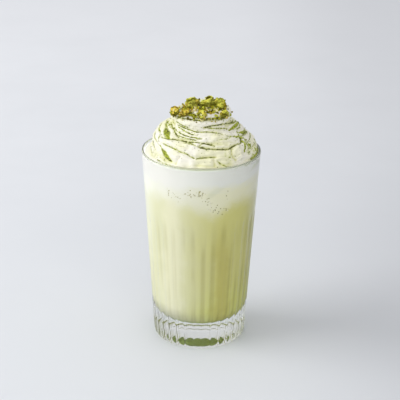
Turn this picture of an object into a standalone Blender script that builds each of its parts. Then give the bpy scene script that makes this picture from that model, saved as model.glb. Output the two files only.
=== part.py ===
"""Matcha frappe in a fluted tumbler, as one Blender scene in metres with +Z up.

The origin is the middle of the tumbler's foot, on the surface it stands on. From the foot up
there are the green drink, the pale froth over it and the whipped cream, which fills the last of
the glass and is piped into a swirl above the rim. Chopped pistachio lies on the swirl.
"""

import math
import random

import bmesh
import bpy
from mathutils import Matrix, Vector, geometry, noise
from mathutils.bvhtree import BVHTree

# --- Driving dimensions --------------------------------------------------------------------

GLASS_HEIGHT = 0.1425
RIM_RADIUS = 0.0420
FOOT_RADIUS = 0.0332
BASE_THICKNESS = 0.0170
RIM_WALL = 0.0015
LOWER_WALL = 0.0042
HEEL_RADIUS = 0.0026
PUNT_RADIUS = 0.0220
PUNT_DEPTH = 0.0022
INNER_CORNER = 0.0150

FLUTE_COUNT = 32
FLUTE_DEPTH = 0.0009
FLUTE_TOP = 0.1030
FLUTE_RUN_OUT = 0.0120
FLUTE_STEPS = 4
FLUTE_TURN = math.radians(3.5)

CLEARANCE = 0.0003

DRINK_TOP = 0.1180
FROTH_TOP = 0.1290
LAYER_STEPS = 48

SWIRL_HEIGHT = 0.0320
SWIRL_TURNS = 3
SWIRL_STEPS = 72
SWIRL_ROWS = 36
TIER_DEPTH = 0.0015
FOLDS_PER_TURN = 3
FOLD_DEPTH = 0.0010
FRONT_DIP = 0.16
CREASE_SOFTNESS = 0.05
PLUG_TOP = 0.1405
START_GAP = 0.0045
START_ANGLE = math.radians(180)
START_REACH = math.radians(58)
START_CLIMB = 0.34
DENT_DEPTH = 0.0030
DENT_ANGLE = math.radians(136)
DENT_REACH = math.radians(70)
DENT_CLIMB = 0.80
DENT_CLIMB_REACH = 0.20

CHUNK_LIFT = 0.50
CRUMB_COUNT = 14
CRUMB_RADIUS = 0.0014
CRUMB_REACH = 0.030
TOPPING_SEED = 11

# The swirl's outline, from the rim to the tip: radius, and height as a share of SWIRL_HEIGHT.
# Its shoulder narrows sharply under the upright top tier.
SWIRL_OUTLINE = (
    (0.0400, 0.00),
    (0.0374, 0.15),
    (0.0346, 0.28),
    (0.0310, 0.41),
    (0.0268, 0.52),
    (0.0214, 0.62),
    (0.0206, 0.82),
    (0.0165, 0.97),
    (0.0080, 1.00),
    (0.0000, 1.00),
)

# Chopped pistachio: place across and behind the middle, half its length, and its turn in degrees.
CHUNKS = {
    "pistachio_tall": (0.0039, -0.0062, 0.0052, 35),
    "pistachio_right": (0.0122, -0.0060, 0.0049, 160),
    "pistachio_upper_left": (-0.0070, -0.0062, 0.0054, 15),
    "pistachio_left": (-0.0172, -0.0086, 0.0038, 80),
    "pistachio_front_left": (-0.0118, -0.0145, 0.0036, 20),
    "pistachio_front": (0.0004, -0.0178, 0.0032, 110),
    "pistachio_front_right": (0.0142, -0.0124, 0.0034, 30),
    "pistachio_back": (0.0056, 0.0058, 0.0032, 10),
    "pistachio_back_left": (-0.0070, 0.0054, 0.0032, 60),
    "pistachio_back_right": (0.0134, 0.0060, 0.0032, 130),
}

GLASS_COLOUR = (0.93, 0.96, 0.95)
DRINK_COLOUR = (0.66, 0.68, 0.34)
FROTH_COLOUR = (0.82, 0.82, 0.62)
CREAM_COLOUR = (0.93, 0.91, 0.82)
PISTACHIO_COLOUR = (0.38, 0.42, 0.06)


# --- Helpers -------------------------------------------------------------------------------

def finish(name, color, roughness):
    """A plain Principled material."""
    material = bpy.data.materials.new(name)
    material.use_nodes = True
    shader = material.node_tree.nodes["Principled BSDF"]
    shader.inputs["Base Color"].default_value = (*color, 1.0)
    shader.inputs["Roughness"].default_value = roughness
    return material


def object_from(name, bm, material):
    """Turns a bmesh into a smooth-shaded object in the scene."""
    bmesh.ops.recalc_face_normals(bm, faces=bm.faces)
    mesh = bpy.data.meshes.new(name)
    bm.to_mesh(mesh)
    bm.free()
    mesh.shade_smooth()
    mesh.set_sharp_from_angle(angle=math.radians(40))
    mesh.materials.append(material)
    obj = bpy.data.objects.new(name, mesh)
    bpy.context.collection.objects.link(obj)
    return obj


def arc(centre_radius, centre_z, radius, start, end, steps):
    """Profile points round an arc, with its angles in degrees from straight outwards."""
    points = []
    for i in range(steps + 1):
        angle = math.radians(start + (end - start) * i / steps)
        points.append((centre_radius + radius * math.cos(angle), centre_z + radius * math.sin(angle)))
    return points


def spin_profile(points, steps):
    """Turns a profile of (radius, z) points, with both ends on the axis, into a closed bmesh."""
    bm = bmesh.new()
    verts = [bm.verts.new((radius, 0, z)) for radius, z in points]
    edges = [bm.edges.new(pair) for pair in zip(verts, verts[1:])]
    bmesh.ops.spin(bm, geom=verts + edges, axis=(0, 0, 1), cent=(0, 0, 0), steps=steps, angle=math.tau)
    bmesh.ops.remove_doubles(bm, verts=bm.verts, dist=1e-6)
    return bm


def stack_of_rings(rings, bottom, top):
    """A closed bmesh from rings of points, all of one count, with a point under and over them."""
    bm = bmesh.new()
    loops = [[bm.verts.new(point) for point in ring] for ring in rings]
    count = len(loops[0])
    for lower, upper in zip(loops, loops[1:]):
        for i in range(count):
            j = (i + 1) % count
            bm.faces.new((lower[i], lower[j], upper[j], upper[i]))
    low, high = bm.verts.new(bottom), bm.verts.new(top)
    for i in range(count):
        j = (i + 1) % count
        bm.faces.new((low, loops[0][j], loops[0][i]))
        bm.faces.new((high, loops[-1][i], loops[-1][j]))
    return bm


def ring(radius, z, steps):
    """A level ring of points."""
    angles = [math.tau * i / steps for i in range(steps)]
    return [(radius * math.cos(angle), radius * math.sin(angle), z) for angle in angles]


def ease(value):
    """0 up to 0, 1 from 1, and a smooth step between."""
    t = min(max(value, 0.0), 1.0)
    return t * t * (3 - 2 * t)


# --- Tumbler -------------------------------------------------------------------------------

def outer_radius(z):
    """The straight taper of the outside, at the ridges between the flutes."""
    return FOOT_RADIUS + (RIM_RADIUS - FOOT_RADIUS) * z / GLASS_HEIGHT


def inner_radius(z):
    """The inside, whose wall thins from the base to the rim."""
    share = (z - BASE_THICKNESS) / (GLASS_HEIGHT - BASE_THICKNESS)
    return outer_radius(z) - (LOWER_WALL + (RIM_WALL - LOWER_WALL) * share)


def flute_cut(angle, z):
    """How deep the hollow cut is: a concave flute between ridges, ending in an arch at its top."""
    across = ((angle - FLUTE_TURN) / math.tau * FLUTE_COUNT) % 1.0
    deep = FLUTE_DEPTH * ease((FLUTE_TOP - z) / FLUTE_RUN_OUT)
    return max(0.0, deep - FLUTE_DEPTH * (2 * across - 1) ** 2)


def tumbler_profile():
    """From the middle of the underside, out over the foot, up, over the rim and down inside."""
    heel_middle = outer_radius(HEEL_RADIUS) - HEEL_RADIUS
    lip = RIM_WALL / 2
    corner_middle = inner_radius(BASE_THICKNESS + INNER_CORNER) - INNER_CORNER
    arch_heights = (0.0905, 0.0945, 0.0985, FLUTE_TOP)
    return [
        (0.0, PUNT_DEPTH),
        (PUNT_RADIUS * 0.5, PUNT_DEPTH * 0.75),
        (PUNT_RADIUS, 0.0),
        *arc(heel_middle, HEEL_RADIUS, HEEL_RADIUS, -90, 0, 3),
        *[(outer_radius(z), z) for z in arch_heights],
        *arc(RIM_RADIUS - lip, GLASS_HEIGHT - lip, lip, 0, 180, 4),
        *arc(corner_middle, BASE_THICKNESS + INNER_CORNER, INNER_CORNER, 0, -90, 4),
        (0.0, BASE_THICKNESS),
    ]


def build_tumbler():
    """A turned glass with shallow flutes cut up the outside, from the heel to an arch."""
    bm = spin_profile(tumbler_profile(), FLUTE_COUNT * FLUTE_STEPS)
    bmesh.ops.rotate(bm, verts=bm.verts, cent=(0, 0, 0), matrix=Matrix.Rotation(FLUTE_TURN, 3, "Z"))
    for vert in bm.verts:
        radius = math.hypot(vert.co.x, vert.co.y)
        on_outside = radius > inner_radius(vert.co.z) + 0.4 * LOWER_WALL and vert.co.z < FLUTE_TOP
        if on_outside:
            cut = flute_cut(math.atan2(vert.co.y, vert.co.x), vert.co.z)
            vert.co.xy = vert.co.xy * min(1.0, (outer_radius(vert.co.z) - cut) / radius)
    return object_from("tumbler", bm, finish("clear_glass", GLASS_COLOUR, 0.02))


# --- Drink and froth -----------------------------------------------------------------------

def drink_level(angle):
    """Where the drink ends at the wall: a slow wave, with a tongue that hangs down at the front."""
    tongue_angle, tongue_width, tongue_depth = math.radians(-77), math.radians(17), 0.0065
    off = math.remainder(angle - tongue_angle, math.tau) / tongue_width
    wave = 0.0016 * math.sin(2 * angle + 0.6) + 0.0008 * math.sin(5 * angle)
    return DRINK_TOP + wave - tongue_depth * math.exp(-off * off)


def froth_level(angle):
    """Where the froth ends and the cream begins at the wall."""
    return FROTH_TOP + 0.0012 * math.sin(angle + 0.9) + 0.0006 * math.sin(4 * angle + 2.0)


def layer_surface(level, mean, lift, steps):
    """Rings over the inside of the glass that follow a level at the wall and flatten inwards."""
    rings = []
    for share in (1.0, 0.6):
        points = []
        for i in range(steps):
            angle = math.tau * i / steps
            radius = share * (inner_radius(level(angle)) - CLEARANCE)
            z = mean + share * (level(angle) - mean) + lift
            points.append((radius * math.cos(angle), radius * math.sin(angle), z))
        rings.append(points)
    return rings


def build_drink():
    """The drink, from the glass floor up to the froth."""
    corner_middle = inner_radius(BASE_THICKNESS + INNER_CORNER) - INNER_CORNER
    floor = BASE_THICKNESS + CLEARANCE
    corner = arc(corner_middle, BASE_THICKNESS + INNER_CORNER, INNER_CORNER - CLEARANCE, -90, 0, 4)
    wall = [(inner_radius(z) - CLEARANCE, z) for z in (0.060, 0.100)]
    rings = [ring(radius, z, LAYER_STEPS) for radius, z in corner + wall]
    rings += layer_surface(drink_level, DRINK_TOP, 0.0, LAYER_STEPS)
    bm = stack_of_rings(rings, (0, 0, floor), (0, 0, DRINK_TOP))
    return object_from("matcha_drink", bm, finish("matcha_milk", DRINK_COLOUR, 0.35))


def build_froth():
    """The froth between the drink and the cream, meeting both across a hairline gap."""
    under = layer_surface(drink_level, DRINK_TOP, CLEARANCE, LAYER_STEPS)[::-1]
    over = layer_surface(froth_level, FROTH_TOP, 0.0, LAYER_STEPS)
    bm = stack_of_rings(under + over, (0, 0, DRINK_TOP + CLEARANCE), (0, 0, FROTH_TOP))
    return object_from("froth", bm, finish("milk_froth", FROTH_COLOUR, 0.5))


# --- Whipped cream -------------------------------------------------------------------------

def outline_at(t):
    """A point of the swirl's smooth outline and its outward normal, for t from 0 to 1."""
    points = [Vector((radius, GLASS_HEIGHT + SWIRL_HEIGHT * share)) for radius, share in SWIRL_OUTLINE]
    spans = len(points) - 1
    i = min(int(t * spans), spans - 1)
    before, start = points[max(i - 1, 0)], points[i]
    end, after = points[i + 1], points[min(i + 2, spans)]
    handle_out, handle_in = (end - before) / 6, (after - start) / 6
    resolution = 33
    curve = geometry.interpolate_bezier(start, start + handle_out, end - handle_in, end, resolution)
    step = (t * spans - i) * (resolution - 1)
    k = min(int(step), resolution - 2)
    point = curve[k].lerp(curve[k + 1], step - k)
    along = (curve[k + 1] - curve[k]).normalized()
    return point, Vector((along.y, -along.x))


def turns_below(angle, t):
    """How many turns of the spiral lie under a point: it climbs clockwise and dips at the front."""
    wobble = 0.10 * noise.noise(Vector((1.6 * math.cos(angle), 1.6 * math.sin(angle), 4.0 * t)))
    dip = -FRONT_DIP * (1 - t) * math.sin(angle)
    return SWIRL_TURNS * t + angle / math.tau + dip + wobble


def turned_by(angle, other):
    """The angle between two directions, without its sign."""
    return abs((angle - other + math.pi) % math.tau - math.pi)


def top_dent(angle, t):
    """How far the top tier has sunk on its back, behind the nuts."""
    around = ease(1 - turned_by(angle, DENT_ANGLE) / DENT_REACH)
    return DENT_DEPTH * around * ease(1 - abs(t - DENT_CLIMB) / DENT_CLIMB_REACH)


def fold_height(angle, t):
    """How far the piped cream stands out: broad turns of a spiral, with folds along each."""
    turn = turns_below(angle, t)
    tier = (math.sin(math.pi * turn) ** 2 + CREASE_SOFTNESS) ** 0.35
    fold = (math.sin(math.pi * FOLDS_PER_TURN * turn) ** 2 + CREASE_SOFTNESS) ** 0.4
    fade = ease(t / 0.10) * ease((1 - t) / 0.14)
    return fade * (TIER_DEPTH * (tier - 0.6) + FOLD_DEPTH * (fold - 0.5)) - top_dent(angle, t)


def start_gap(angle, t):
    """How far the swirl stands back from the rim on the side where the piping started."""
    around = ease(1 - turned_by(angle, START_ANGLE) / START_REACH)
    return START_GAP * around * ease(1 - t / START_CLIMB)


def cream_mesh(grow):
    """The cream as a closed bmesh, its swirl grown outwards by the given amount."""
    rings = layer_surface(froth_level, FROTH_TOP, CLEARANCE, SWIRL_STEPS)[::-1]
    rings.append(ring(inner_radius(PLUG_TOP) - CLEARANCE, PLUG_TOP, SWIRL_STEPS))
    for row in range(SWIRL_ROWS):
        t = row / SWIRL_ROWS
        point, normal = outline_at(t)
        points = []
        for i in range(SWIRL_STEPS):
            angle = math.tau * i / SWIRL_STEPS
            radius, z = point + normal * (fold_height(angle, t) + grow)
            radius -= start_gap(angle, t)
            points.append((radius * math.cos(angle), radius * math.sin(angle), z))
        rings.append(points)
    tip = GLASS_HEIGHT + SWIRL_HEIGHT + grow
    bm = stack_of_rings(rings, (0, 0, FROTH_TOP + CLEARANCE), (0, 0, tip))
    # One fixed diagonal in each face, so that the grown swirl clears the plain one everywhere.
    bmesh.ops.triangulate(bm, faces=bm.faces[:], quad_method="FIXED")
    return bm


def build_cream():
    """Whipped cream: a plug in the mouth of the glass and the piped swirl over it."""
    return object_from("whipped_cream", cream_mesh(0.0), finish("cream", CREAM_COLOUR, 0.55))


# --- Pistachio -----------------------------------------------------------------------------

def nut_mesh(half_length, subdivisions, rng):
    """A broken piece of nut: a lumpy ball with one clean split across it."""
    bm = bmesh.new()
    bmesh.ops.create_icosphere(bm, subdivisions=subdivisions, radius=1.0)
    shift = Vector((rng.uniform(-9, 9), rng.uniform(-9, 9), rng.uniform(-9, 9)))
    for vert in bm.verts:
        lump = 1 + 0.28 * noise.noise(vert.co * 1.4 + shift)
        vert.co = Vector((vert.co.x, 0.80 * vert.co.y, 0.90 * vert.co.z)) * lump * half_length
    split = Vector((rng.uniform(-1, 1), rng.uniform(-1, 1), rng.uniform(0.2, 0.8))).normalized()
    cut = bmesh.ops.bisect_plane(
        bm,
        geom=bm.verts[:] + bm.edges[:] + bm.faces[:],
        plane_co=split * 0.42 * half_length,
        plane_no=split,
        clear_outer=True,
    )
    rim = [item for item in cut["geom_cut"] if isinstance(item, bmesh.types.BMEdge)]
    bmesh.ops.holes_fill(bm, edges=rim)
    return bm


def surface_under(tree, x, y):
    """The cream's point and outward normal straight below a place."""
    above = Vector((x, y, GLASS_HEIGHT + 2 * SWIRL_HEIGHT))
    point, normal, _, _ = tree.ray_cast(above, Vector((0, 0, -1)))
    return point, normal


def build_chunks(tree, cutter):
    """Each large piece, with its underside cut to the cream it lies on."""
    rng = random.Random(TOPPING_SEED)
    material = finish("pistachio", PISTACHIO_COLOUR, 0.7)
    for name, (x, y, half_length, turn) in CHUNKS.items():
        chunk = object_from(name, nut_mesh(half_length, 2, rng), material)
        point, normal = surface_under(tree, x, y)
        chunk.location = point + normal * half_length * CHUNK_LIFT
        chunk.rotation_euler = (rng.uniform(-0.4, 0.4), rng.uniform(-0.4, 0.4), math.radians(turn))
        fit = chunk.modifiers.new("fit_to_cream", "BOOLEAN")
        fit.operation = "DIFFERENCE"
        fit.solver = "EXACT"
        fit.object = cutter


def fuse_crumbs(cream, tree):
    """Scatters small crumbs over the top of the cream and joins them to it as one solid."""
    rng = random.Random(TOPPING_SEED + 1)
    crumbs = bpy.data.collections.new("crumbs")
    bpy.context.scene.collection.children.link(crumbs)
    taken = [(Vector((x, y)), 1.25 * half_length) for x, y, half_length, _ in CHUNKS.values()]
    while len(crumbs.objects) < CRUMB_COUNT:
        radius, angle = CRUMB_REACH * math.sqrt(rng.random()), rng.uniform(0, math.tau)
        place = Vector((radius * math.cos(angle), radius * math.sin(angle)))
        if any((place - other).length < reach + 1.6 * CRUMB_RADIUS for other, reach in taken):
            continue
        taken.append((place, 1.6 * CRUMB_RADIUS))
        crumb = object_from("crumb", nut_mesh(CRUMB_RADIUS, 1, rng), cream.data.materials[0])
        point, _ = surface_under(tree, *place)
        crumb.location = point
        crumb.users_collection[0].objects.unlink(crumb)
        crumbs.objects.link(crumb)
    join = cream.modifiers.new("fuse", "BOOLEAN")
    join.operation = "UNION"
    join.solver = "EXACT"
    join.operand_type = "COLLECTION"
    join.collection = crumbs
    with bpy.context.temp_override(object=cream, active_object=cream):
        bpy.ops.object.modifier_apply(modifier=join.name)
    for crumb in list(crumbs.objects):
        bpy.data.objects.remove(crumb)
    bpy.data.collections.remove(crumbs)


def main():
    for obj in list(bpy.data.objects):
        bpy.data.objects.remove(obj)
    build_tumbler()
    build_drink()
    build_froth()
    cream = build_cream()
    bare = cream_mesh(0.0)
    tree = BVHTree.FromBMesh(bare)
    bare.free()
    cutter = object_from("cream_cutter", cream_mesh(CLEARANCE), cream.data.materials[0])
    cutter.hide_render = True
    cutter.display_type = "WIRE"
    build_chunks(tree, cutter)
    fuse_crumbs(cream, tree)


main()
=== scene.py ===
# %% [markdown]
# # Matcha frappe in a fluted tumbler
#
# An iced green tea drink stands in a heavy pressed-glass tumbler. Froth floats on the drink, whipped
# cream is piped over the froth and out of the glass, and chopped pistachio and powdered tea lie on
# the cream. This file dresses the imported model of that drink: each step below makes one piece or one
# finish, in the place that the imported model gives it.

# %% Load the fixed frame
import math

import bpy
import numpy as np
from mathutils import Euler, Matrix, Vector, geometry, noise


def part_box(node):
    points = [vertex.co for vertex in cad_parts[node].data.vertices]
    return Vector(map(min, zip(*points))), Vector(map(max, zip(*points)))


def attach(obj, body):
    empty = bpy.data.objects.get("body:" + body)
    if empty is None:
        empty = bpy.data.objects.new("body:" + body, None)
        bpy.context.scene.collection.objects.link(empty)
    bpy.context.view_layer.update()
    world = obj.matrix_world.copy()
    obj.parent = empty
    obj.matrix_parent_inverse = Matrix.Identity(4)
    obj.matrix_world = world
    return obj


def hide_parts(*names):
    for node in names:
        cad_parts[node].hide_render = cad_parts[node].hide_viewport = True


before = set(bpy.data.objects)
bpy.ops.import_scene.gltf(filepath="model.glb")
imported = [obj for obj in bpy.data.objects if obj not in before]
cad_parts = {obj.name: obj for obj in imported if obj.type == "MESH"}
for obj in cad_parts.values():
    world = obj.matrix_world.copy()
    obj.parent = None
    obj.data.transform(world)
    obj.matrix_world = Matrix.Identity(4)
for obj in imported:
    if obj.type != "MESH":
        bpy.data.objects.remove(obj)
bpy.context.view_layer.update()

# %% [markdown]
# ## Sizes
#
# The tumbler was turned and pressed to a plain rule: a straight taper outside, a wall that thins
# towards the rim, and a thick flat base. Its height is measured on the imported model. The other sizes
# are stated once here, in metres, so that glass, drink, froth and cream all fit one another.

# %% Sizes of the tumbler and its layers
GLASS_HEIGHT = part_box("tumbler")[1].z
RIM_RADIUS = 0.0420
FOOT_RADIUS = 0.0332
BASE_THICKNESS = 0.0170
RIM_WALL = 0.0015
LOWER_WALL = 0.0042
INNER_CORNER = 0.0150
DRINK_TOP = 0.1180
FROTH_TOP = 0.1290
LAYER_STEPS = 440
WALL_BITE = 0.0001
MM = 0.001
FRONT = -math.pi / 2


def ease(value):
    """0 up to 0, 1 from 1, and a smooth step between. Takes numbers or arrays."""
    t = np.clip(value, 0.0, 1.0)
    return t * t * (3 - 2 * t)


def bell(away, width):
    """1 in the middle, falling off smoothly over a width to both sides."""
    return np.exp(-((away / width) ** 2))


def outer_radius(z):
    """The straight taper of the outside, at the ridges between the flutes."""
    return FOOT_RADIUS + (RIM_RADIUS - FOOT_RADIUS) * z / GLASS_HEIGHT


def inner_radius(z):
    """The inside, whose wall thins from the base to the rim."""
    share = (z - BASE_THICKNESS) / (GLASS_HEIGHT - BASE_THICKNESS)
    return outer_radius(z) - (LOWER_WALL + (RIM_WALL - LOWER_WALL) * share)


print(f"tumbler {GLASS_HEIGHT * 1000:.1f} mm tall, rim {RIM_RADIUS * 2000:.1f} mm across")

# %% [markdown]
# ## How a turned piece is made
#
# Glass, drink and froth are all round, so one helper makes them. It starts with a small plane, merges
# it to a single point, and draws half an outline by extruding that point from place to place, as one
# would by hand. The spin tool then turns the outline round the axis.

# %% Turn an outline into a piece
SHARP_ANGLE = 50
SEAM = 1e-6


def arc(centre_radius, centre_z, radius, start, end, steps):
    """Outline points round an arc, with its angles in degrees from straight outwards."""
    angles = np.radians(np.linspace(start, end, steps + 1))
    return [(centre_radius + radius * math.cos(a), centre_z + radius * math.sin(a)) for a in angles]


def select_only(piece):
    """Makes a piece the one selected and active object."""
    bpy.ops.object.select_all(action="DESELECT")
    piece.select_set(True)
    bpy.context.view_layer.objects.active = piece


def edit_all():
    """Enters edit mode on the active piece, with everything selected."""
    bpy.ops.object.mode_set(mode="EDIT")
    bpy.ops.mesh.select_all(action="SELECT")


def close_seams(piece, threshold):
    """Merges doubled points and turns every face outwards, then leaves edit mode."""
    select_only(piece)
    edit_all()
    bpy.ops.mesh.remove_doubles(threshold=threshold)
    bpy.ops.mesh.normals_make_consistent(inside=False)
    bpy.ops.object.mode_set(mode="OBJECT")
    bpy.ops.object.shade_smooth_by_angle(angle=math.radians(SHARP_ANGLE))


def turned(name, outline, steps):
    """Extrudes a point along half an outline of (radius, z) and spins it into a closed shape."""
    bpy.ops.object.select_all(action="DESELECT")
    start = outline[0]
    bpy.ops.mesh.primitive_plane_add(size=MM, location=(start[0], 0, start[1]))
    piece = bpy.context.object
    piece.name = name
    edit_all()
    bpy.ops.mesh.merge(type="CENTER")
    for here, there in zip(outline, outline[1:]):
        step = (there[0] - here[0], 0, there[1] - here[1])
        bpy.ops.mesh.extrude_region_move(TRANSFORM_OT_translate={"value": step})
    bpy.ops.mesh.select_all(action="SELECT")
    bpy.ops.mesh.spin(steps=steps, angle=math.tau, center=(0, 0, 0), axis=(0, 0, 1))
    bpy.ops.object.mode_set(mode="OBJECT")
    close_seams(piece, SEAM)
    bpy.ops.object.transform_apply(location=True, rotation=True, scale=True)
    return piece


print(f"edges sharper than {SHARP_ANGLE} degrees stay sharp")

# %% [markdown]
# Some shaping is more than one tool does by itself, such as a surface that follows a formula. For
# that, all points of a piece are read at once as an array, moved, and written back. A number can also
# be painted on every point, for a finish to read by its name.

# %% Helpers that work on all points at once
def points_of(piece):
    """All points of a piece as an array."""
    flat = np.empty(len(piece.data.vertices) * 3)
    piece.data.vertices.foreach_get("co", flat)
    return flat.reshape(-1, 3)


def move_points(piece, points):
    """Puts all points of a piece in new places."""
    piece.data.vertices.foreach_set("co", np.ascontiguousarray(points, dtype=float).ravel())
    piece.data.update()


def paint(piece, name, values):
    """Stores one number for each point, for a material to read by name."""
    attribute = piece.data.attributes.new(name, "FLOAT", "POINT")
    attribute.data.foreach_set("value", np.ascontiguousarray(values, dtype=float))


def angle_of(points):
    """The direction of each point from the axis, seen from above."""
    return np.arctan2(points[:, 1], points[:, 0])


def radius_of(points):
    """The distance of each point from the axis."""
    return np.hypot(points[:, 0], points[:, 1])


def turn_between(start, angle):
    """The shorter way round from one direction to others, which is negative when it is clockwise."""
    return (angle - start + math.pi) % math.tau - math.pi


def around_axis(radius, angle, z):
    """Points at given distances from the axis, in given directions and at given heights."""
    return np.column_stack([radius * np.cos(angle), radius * np.sin(angle), z])


def drawn_in(points, scale, z):
    """Points moved towards the axis or away from it, and to new heights."""
    return np.column_stack([points[:, 0] * scale, points[:, 1] * scale, z])


def report(piece):
    """Prints how many triangles a piece has and how large it is."""
    piece.data.calc_loop_triangles()
    size = [round(side * 1000, 1) for side in piece.dimensions]
    print(f"{piece.name}: {len(piece.data.loop_triangles)} triangles, {size} mm")


# %% [markdown]
# ## The tumbler
#
# A pressed tumbler has a solid base, a rounded heel, a shallow hollow underneath and flutes up the
# outside that the mould leaves. The flutes end in small arches under a plain band. The outline is
# drawn with more points where the arches end, and each flute is then pressed in by moving points
# towards the axis, wherever they stand outside the flute's own surface. That scallops the heel too.

# %% Model the tumbler
HEEL_RADIUS = 0.0026
PUNT_RADIUS = 0.0220
PUNT_DEPTH = 0.0022
FLUTE_COUNT = 32
FLUTE_STEPS = 12
FLUTE_DEPTH = 0.0009
FLUTE_TOP = 0.1030
FLUTE_RUN_OUT = 0.0120
FLUTE_TURN = math.radians(3.5)
FLUTE_START = 0.006


def tumbler_outline():
    """From the middle of the underside, over the foot, up, over the rim and down inside."""
    heel_middle = outer_radius(HEEL_RADIUS) - HEEL_RADIUS
    lip = RIM_WALL / 2
    corner_middle = inner_radius(BASE_THICKNESS + INNER_CORNER) - INNER_CORNER
    lower = np.linspace(FLUTE_START, FLUTE_TOP - FLUTE_RUN_OUT, 8)
    arches = np.linspace(FLUTE_TOP - FLUTE_RUN_OUT, FLUTE_TOP, 18)[1:]
    return [
        *[(PUNT_RADIUS * share, PUNT_DEPTH * (1 - share**2)) for share in np.linspace(0, 1, 11)],
        *arc(heel_middle, HEEL_RADIUS, HEEL_RADIUS, -90, 0, 10),
        *[(outer_radius(z), z) for z in (*lower, *arches)],
        *arc(RIM_RADIUS - lip, GLASS_HEIGHT - lip, lip, 0, 180, 10),
        *arc(corner_middle, BASE_THICKNESS + INNER_CORNER, INNER_CORNER, 0, -90, 16),
        (0.0, BASE_THICKNESS),
    ]


def press_flutes(points):
    """Points standing outside the flutes' surface are moved in to it."""
    radius = radius_of(points)
    z = points[:, 2]
    across = ((angle_of(points) - FLUTE_TURN) / math.tau * FLUTE_COUNT) % 1.0
    deep = FLUTE_DEPTH * ease((FLUTE_TOP - z) / FLUTE_RUN_OUT)
    cut = np.maximum(0.0, deep - FLUTE_DEPTH * (2 * across - 1) ** 2)
    pressed = np.minimum(radius, outer_radius(z) - cut)
    outside = (z < FLUTE_TOP) & (radius > inner_radius(z) + 0.4 * LOWER_WALL)
    scale = np.where(outside, pressed / np.maximum(radius, 1e-9), 1.0)
    return drawn_in(points, scale, z)


tumbler = turned("tumbler_glass", tumbler_outline(), FLUTE_COUNT * FLUTE_STEPS)
tumbler.rotation_euler.z = FLUTE_TURN
bpy.ops.object.transform_apply(location=True, rotation=True, scale=True)
move_points(tumbler, press_flutes(points_of(tumbler)))
report(tumbler)

# %% [markdown]
# ## The drink
#
# The drink wets the glass all over, so no air shows between them. In Blender the same look comes from
# a body of drink that reaches a hair into the wall: the ray leaves the glass straight into the drink.
# Its top follows the froth's lower edge, which waves and hangs down in one tongue at the front. Each
# point remembers how far it is above that edge, for the colour to change there.

# %% Where one layer meets the next
DRINK_WAVES = ((0.0016, 2, 0.6), (0.0008, 5, 0.0))
FROTH_WAVES = ((0.0012, 1, 0.9), (0.0006, 4, 2.0))
TONGUE_ANGLE = math.radians(-77)
TONGUE_WIDTH = math.radians(17)
TONGUE_DEPTH = 0.0065


def waves(angle, parts):
    """Height of a wavy edge, made of parts with a height, a count of waves round it, and a shift."""
    return sum(height * np.sin(count * angle + shift) for height, count, shift in parts)


def drink_level(angle):
    """Where the drink ends at the wall: a slow wave, with a tongue that hangs down at the front."""
    tongue = TONGUE_DEPTH * bell(turn_between(TONGUE_ANGLE, angle), TONGUE_WIDTH)
    return DRINK_TOP + waves(angle, DRINK_WAVES) - tongue


def froth_level(angle):
    """Where the froth ends and the cream begins at the wall."""
    return FROTH_TOP + waves(angle, FROTH_WAVES)


def paint_levels(piece):
    """Stores how far each point lies above the drink's edge and above the froth's."""
    points = points_of(piece)
    angle = angle_of(points)
    paint(piece, "above_drink", points[:, 2] - drink_level(angle))
    paint(piece, "above_froth", points[:, 2] - froth_level(angle))


print(f"at the front the drink ends {drink_level(FRONT) * 1000:.1f} mm up")

# %% [markdown]
# The drink is turned as the tumbler is, with a rounded lower corner that fills the glass's own. Its
# upper part is then made longer or shorter along the wall, so that its edge follows the wavy level.

# %% Model the drink
WALL_START = 0.034
LEVEL_START = 0.090


def drink_outline():
    """From the middle of the glass floor up to the rest level of the drink."""
    middle = inner_radius(BASE_THICKNESS + INNER_CORNER) - INNER_CORNER
    corner = arc(middle, BASE_THICKNESS + INNER_CORNER, INNER_CORNER + WALL_BITE, -90, 0, 16)
    wall = [(inner_radius(z) + WALL_BITE, z) for z in np.linspace(WALL_START, DRINK_TOP, 30)]
    return [(0.0, BASE_THICKNESS - WALL_BITE), *corner, *wall, (0.0, DRINK_TOP)]


def follow_level(points):
    """Stretches the upper part of the drink along the wall, so that it ends at its wavy level."""
    share = np.clip((points[:, 2] - LEVEL_START) / (DRINK_TOP - LEVEL_START), 0.0, 1.0)
    z = points[:, 2] + share * (drink_level(angle_of(points)) - DRINK_TOP)
    radius = radius_of(points)
    on_wall = radius > 0.9 * inner_radius(points[:, 2])
    grown = np.where(on_wall, radius + inner_radius(z) - inner_radius(points[:, 2]), radius)
    return drawn_in(points, grown / np.maximum(radius, 1e-9), z)


drink = turned("matcha_milk_drink", drink_outline(), LAYER_STEPS)
move_points(drink, follow_level(points_of(drink)))
paint_levels(drink)
report(drink)

# %% [markdown]
# ## The froth
#
# Froth is a band of fine wet foam between the drink and the cream. It is turned as a plain drum, and
# its rows are then spread between the drink's level and the cream's. It reaches the same hair into
# the wall as the drink does.

# %% Model the froth
FROTH_ROWS = 28


def froth_outline():
    """A plain drum, with its height running from 0 to 1 for now."""
    wall = [(RIM_RADIUS, share) for share in np.linspace(0.0, 1.0, FROTH_ROWS)]
    return [(0.0, 0.0), *wall, (0.0, 1.0)]


def fill_band(drum):
    """Spreads the drum between the two levels, and out to the wall."""
    angle = angle_of(drum)
    low = drink_level(angle)
    z = low + (froth_level(angle) - low) * drum[:, 2]
    radius = np.where(radius_of(drum) > MM, inner_radius(z) + WALL_BITE, 0.0)
    return around_axis(radius, angle, z)


froth = turned("milk_froth_band", froth_outline(), LAYER_STEPS)
move_points(froth, fill_band(points_of(froth)))
paint_levels(froth)
report(froth)

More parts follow.
